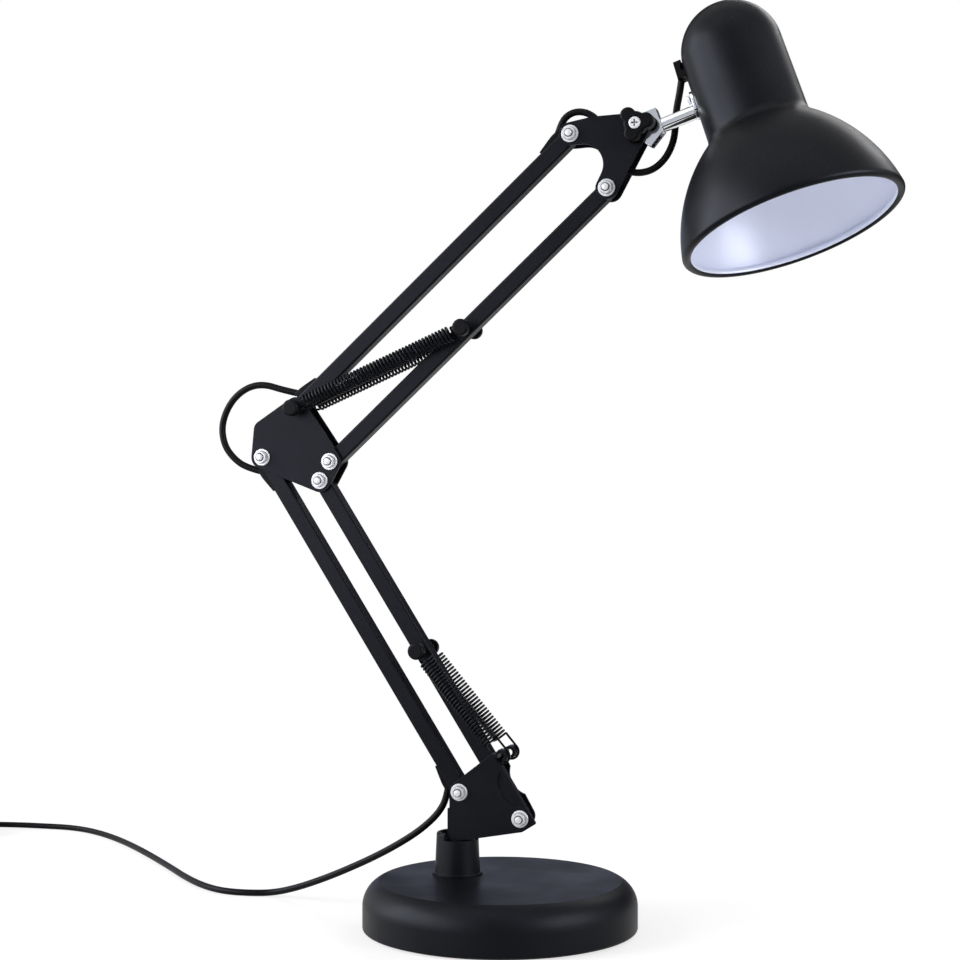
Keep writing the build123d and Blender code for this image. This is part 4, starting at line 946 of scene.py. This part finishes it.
@in_add_on
class LAMP_OT_joint_cords(bpy.types.Operator):
    """Stretches of cord at the foot, the elbow and the head"""

    bl_idname = "lamp.joint_cords"
    bl_label = "Cords at the joints"

    def stretch(self, name, node, points, first_body, second_body, lay="loose", first=0, last=-1):
        """One stretch of cord as a round tube along its route, in place of its CAD cord."""
        line = line_of(points)
        work = bmesh.new()
        add_tube(work, line, sizes().cord_diameter / 2, CORD_SIDES)
        piece = new_piece(name, work, cord_sheath)
        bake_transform(piece)
        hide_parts(node)

    def execute(self, context):
        foot = out_of_arm(LOWER_REAR, ELBOW_REAR, True, SLANT_LOW, LEAD_OUT)
        drop_high, rest = halves([*foot, *map(in_plane, DROP_HIGH)], list(map(in_plane, DROP_LOW)))
        drop_low = halves(rest, [in_plane(TABLE_ROUTE[0])])[0]
        self.stretch("foot_cord", "lead_drop_high", drop_high, "lower_rear_arm", "lower_bracket",
                     lay="hanging", first=1)
        self.stretch("hanging_cord", "lead_drop_low", drop_low, "lower_bracket", "base", lay="hanging")

        low_end = out_of_arm(LOWER_REAR, ELBOW_REAR, False, SLANT_ELBOW, ELBOW_LEAD_OUT)
        high_end = out_of_arm(UPPER_REAR, HEAD_REAR, True, SLANT_UPPER, ELBOW_LEAD_OUT)
        low_route = [*low_end, *map(in_plane, ELBOW_ROUTE_LOW)]
        high_route = [*map(in_plane, ELBOW_ROUTE_HIGH), *reversed(high_end)]
        low_loop, high_loop = halves(low_route, high_route)
        self.stretch("elbow_cord_low", "cord_elbow_low", low_loop, "lower_rear_arm", "elbow")
        self.stretch("elbow_cord_high", "cord_elbow_high", high_loop, "elbow", "upper_rear_arm")

        head_end = out_of_arm(UPPER_REAR, HEAD_REAR, False, SLANT_HEAD, LEAD_OUT)
        origin, axis = shade_axes()
        sideways = axis.cross(ROD_WAY).normalized()
        grip = origin + ROD_WAY * GRIP_MOUTH.x + axis * GRIP_MOUTH.z
        flat = cos(GRIP_SIDEWAYS)
        way = (ROD_WAY * sin(GRIP_SLANT) + axis * cos(GRIP_SLANT)) * flat - sideways * sin(GRIP_SIDEWAYS)
        arc_route = [*head_end, *map(in_plane, HEAD_ARC_ROUTE)]
        arc_part, rest = halves(arc_route, list(map(in_plane, HEAD_LOOP_LOW)))
        loop_low, loop_high = halves(rest, [*map(in_plane, HEAD_LOOP_HIGH), grip - way * LEAD_OUT, grip])
        self.stretch("head_arc_cord", "cord_head_arc", arc_part, "upper_rear_arm", "head_bracket", last=-2)
        self.stretch("head_loop_cord_low", "cord_head_loop_low", loop_low, "head_bracket", "clevis", first=2)
        self.stretch("head_loop_cord_high", "cord_head_loop_high", loop_high, "clevis", "shade")
        return {"FINISHED"}


@in_add_on
class LAMP_OT_supply_lead(bpy.types.Operator):
    """Supply lead along the table, with its put-away coil, tie and plug"""

    bl_idname = "lamp.supply_lead"
    bl_label = "Supply lead"

    def execute(self, context):
        last_drop = in_plane(DROP_LOW[-1])
        table = list(map(in_plane, TABLE_ROUTE))
        coil = coil_points()
        coil_finish = coil[-1] - ACROSS * sizes().cord_diameter
        fall = PLUG_HEIGHT / 2 - coil_finish.z
        tail = [coil_finish + Vector((x * MM, y * MM, share * fall)) for x, y, share in TAIL_ROUTE]
        points = [(last_drop + table[0]) / 2, *table, *coil, coil_finish, *tail]
        line = line_of(points)
        curve = route_curve("supply_lead", points, sizes().cord_diameter / 2)
        curve.materials.append(made_once(cord_sheath))
        piece = placed("supply_lead", curve)
        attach(piece, "base")
        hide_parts("lead_run", "lead_coil", "lead_tail")
        return {"FINISHED"}


# Finishes of the pieces that keep their CAD shape
NODE_FINISHES = {
    base_paint: ("base_cover", "base_socket"),
    frame_paint: ("lower_bracket", "swivel_spindle", "lower_rear_arm", "lower_front_arm",
                  "elbow_front_plate", "elbow_back_plate", "upper_rear_arm", "upper_front_arm",
                  "head_front_plate", "head_back_plate"),
    black_plastic: ("knob", "lower_arm_hoods", "upper_arm_hoods", "lower_spring_pin", "upper_spring_pin",
                    "elbow_spring_pin", "cord_grip", "lead_tie", "plug", "lamp_holder", "holder_ring"),
    zinc_plate: ("socket_nut", "spindle_nut", "knob_nut", "knob_screw", "shade_fasteners"),
    chrome_plate: ("clevis", "rod", "shade_clip"),
    cord_sheath: ("cord_in_lower_arm", "cord_in_upper_arm"),
    white_nylon: ("lower_bracket_bushes", "elbow_bushes", "head_bushes", "friction_discs"),
    cast_iron: ("base_weight",),
    pad_rubber: ("base_pad",),
    opal_glass: ("bulb_glass",),
    bulb_cap_metal: ("bulb_cap",),
    pin_plate: ("plug_pins",),
}


@in_add_on
class LAMP_OT_finishes(bpy.types.Operator):
    """Paint, plating and plastic on the pieces that keep their shape"""

    bl_idname = "lamp.finishes"
    bl_label = "Finishes"

    def execute(self, context):
        for maker, nodes in NODE_FINISHES.items():
            for node in nodes:
                slots = frame["nodes"][node].data.materials
                slots.clear()
                slots.append(made_once(maker))
        return {"FINISHED"}


# Stage
FLOOR_LEVEL = -0.1 * MM
FLOOR_GLOW = 0.70
SHADOW_SHARE = 0.38
FLOOR_NEAR = 0.25
FLOOR_FAR = 0.9
# Cards: colour, two corners and the way to the far edge, in metres
CARDS = {
    "front_card": ((0.58, 0.6, 0.66), (-0.52, -1.6, 0.0), (1.5, -1.6, 0.0), (0, 0, 1.7)),
    "front_left_card": ((6.4, 6.55, 7.6), (-1.5, -1.6, 0.0), (-0.58, -1.6, 0.0), (0, 0, 1.3)),
    "left_card": ((7.6, 7.9, 8.8), (-1.7, -1.5, 0.1), (-1.7, 0.3, 0.1), (0, 0, 1.5)),
    "right_card": ((10.5, 11.0, 12.2), (1.8, -1.3, 0.3), (1.8, 0.1, 0.3), (0, 0, 1.2)),
    "top_card": ((2.2, 2.25, 2.45), (-1.2, -1.7, 2.2), (1.2, -1.7, 2.2), (0, 1.5, 0.2)),
    "front_dark_card": ((0.02, 0.02, 0.02), (-1.5, -1.1, 0.002), (1.5, -1.1, 0.002), (0, 0.6, 0)),
    "back_left_card": ((0.50, 0.53, 0.72), (-1.8, 1.7, 0.05), (-0.1, 1.7, 0.05), (0, 0, 0.75)),
    "back_right_card": ((0.06, 0.06, 0.08), (-0.1, 1.7, 0.05), (2.2, 1.7, 0.05), (0, 0, 0.75)),
    "high_card": ((0.08, 0.08, 0.10), (-1.8, 1.7, 0.8), (2.2, 1.7, 0.8), (0, 0, 1.8)),
}


def studio_material(name):
    """Material without a shader, and its nodes and surface socket."""
    made = bpy.data.materials.new(name)
    made.use_nodes = True
    tree = made.node_tree
    tree.nodes.remove(tree.nodes["Principled BSDF"])
    return made, tree, tree.nodes["Material Output"].inputs["Surface"]


def mixed(tree, share, first, second):
    """Shader that goes from the first to the second with a share."""
    node = add(tree, "ShaderNodeMixShader")
    for socket, source in zip(node.inputs, (share, first, second)):
        tree.links.new(source, socket)
    return node.outputs["Shader"]


def floor_material(stage):
    """Pale floor that turns to the backdrop's white away from the lamp, and keeps the lamp's shadow."""
    made, tree, surface = studio_material("studio_floor")
    white = [stage.floor_white] * 3
    matt = add(tree, "ShaderNodeBsdfDiffuse", Color=rgba(white))
    glow = add(tree, "ShaderNodeEmission", strength=FLOOR_GLOW)
    lit = add(tree, "ShaderNodeAddShader")
    shadowed = add(tree, "ShaderNodeBsdfDiffuse", Color=rgba(toned(white, SHADOW_SHARE)))
    tree.links.new(shadowed.outputs["BSDF"], lit.inputs[0])
    tree.links.new(glow.outputs["Emission"], lit.inputs[1])
    far = add(tree, "ShaderNodeEmission")
    place = add(tree, "ShaderNodeTexCoord")
    reach = add(tree, "ShaderNodeVectorMath", operation="LENGTH")
    tree.links.new(place.outputs["Object"], reach.inputs[0])
    away = ramp(tree, reach.outputs["Value"], FLOOR_NEAR, FLOOR_FAR)
    seen = mixed(tree, away, lit.outputs["Shader"], far.outputs["Emission"])
    tree.links.new(mixed(tree, seen_rays(tree), matt.outputs["BSDF"], seen), surface)
    return made


def seen_rays(tree):
    """One for camera, glossy and transmission rays, and zero for the rest."""
    path = add(tree, "ShaderNodeLightPath")
    seen = path.outputs["Is Camera Ray"]
    for label in ("Is Glossy Ray", "Is Transmission Ray"):
        seen = combined(tree, "MAXIMUM", seen, path.outputs[label])
    return seen


def card(name, brightness, first, second, rise):
    """Studio card that only reflections see, so that dark and bright metal keep their contrast."""
    made, tree, surface = studio_material(name)
    glow = add(tree, "ShaderNodeEmission", Color=rgba(brightness))
    tree.links.new(glow.outputs["Emission"], surface)
    mesh = bpy.data.meshes.new(name)
    first, second, rise = Vector(first), Vector(second), Vector(rise)
    mesh.from_pydata([first, second, second + rise, first + rise], [], [(0, 1, 2, 3)])
    mesh.materials.append(made)
    piece = placed(name, mesh)
    for ray in ("camera", "diffuse", "shadow", "transmission"):
        setattr(piece, f"visible_{ray}", False)


def softbox(name, place, target, width, height, power):
    light = bpy.data.lights.new(name, "AREA")
    light.shape = "RECTANGLE"
    light.size = width
    light.size_y = height
    light.energy = power
    lamp = placed(name, light)
    lamp.location = place
    lamp.rotation_euler = (Vector(target) - Vector(place)).to_track_quat("-Z", "Y").to_euler()


@in_add_on
class LAMP_OT_stage(bpy.types.Operator):
    """Camera, floor, softboxes and even room light"""

    bl_idname = "lamp.stage"
    bl_label = "Stage"

    def execute(self, context):
        scene = context.scene
        stage = scene.lamp_stage
        scene.view_settings.view_transform = "Standard"
        turn = stage.azimuth
        ahead = Vector((-sin(turn), cos(turn), 0))
        aside = Vector((cos(turn), sin(turn), 0))
        camera = placed("camera", bpy.data.cameras.new("camera"))
        camera.location = -ahead * stage.distance - aside * stage.side_step + Vector((0, 0, stage.height))
        camera.rotation_euler = ahead.to_track_quat("-Z", "Y").to_euler()
        camera.data.sensor_fit = "HORIZONTAL"
        camera.data.angle = 2 * atan(stage.frame_tangent)
        camera.data.clip_end = 2 * stage.floor_size
        scene.camera = camera

        half = stage.floor_size / 2
        corners = [(-half, -half), (half, -half), (half, half), (-half, half)]
        mesh = bpy.data.meshes.new("floor")
        mesh.from_pydata([(x, y, FLOOR_LEVEL) for x, y in corners], [], [(0, 1, 2, 3)])
        mesh.materials.append(floor_material(stage))
        floor = placed("floor", mesh)

        world = bpy.data.worlds.new("studio")
        world.use_nodes = True
        tree = world.node_tree
        backdrop = tree.nodes["Background"]
        backdrop.inputs["Color"].default_value = (1.0, 1.0, 1.0, 1.0)
        strength = ramp(tree, seen_rays(tree), 0.0, 1.0, stage.ambient, 1.0)
        tree.links.new(strength, backdrop.inputs["Strength"])
        scene.world = world

        softbox("key", (-1.9, -1.05, 1.0), (0, 0, 0.3), 1.3, 1.6, stage.key_power)
        softbox("fill", (1.9, -0.7, 0.9), (0.05, 0, 0.3), 0.6, 1.2, stage.fill_power)
        softbox("strip", (0.5, 1.6, 1.5), (0, 0, 0.3), 1.4, 0.5, stage.back_power)
        for name, row in CARDS.items():
            card(name, *row)
        return {"FINISHED"}


@in_add_on
class LAMP_PT_panel(bpy.types.Panel):
    """Steps that finish the lamp"""

    bl_idname = "LAMP_PT_panel"
    bl_label = "Desk Lamp"
    bl_space_type = "VIEW_3D"
    bl_region_type = "UI"
    bl_category = "Lamp"

    def draw(self, context):
        for operator in OPERATORS:
            self.layout.operator(operator.bl_idname)


OPERATORS = [cls for cls in CLASSES if issubclass(cls, bpy.types.Operator)]


def register():
    for cls in CLASSES:
        bpy.utils.register_class(cls)
    for name, group in GROUPS.items():
        setattr(bpy.types.Scene, name, PointerProperty(type=group))


def unregister():
    for name in GROUPS:
        delattr(bpy.types.Scene, name)
    for cls in reversed(CLASSES):
        bpy.utils.unregister_class(cls)


def main():
    register()
    bpy.ops.lamp.stage()
    bpy.ops.lamp.joint_cords()
    bpy.ops.lamp.supply_lead()
    bpy.ops.lamp.springs()
    bpy.ops.lamp.fasteners()
    bpy.ops.lamp.shade()
    bpy.ops.lamp.finishes()


if __name__ == "__main__":
    main()
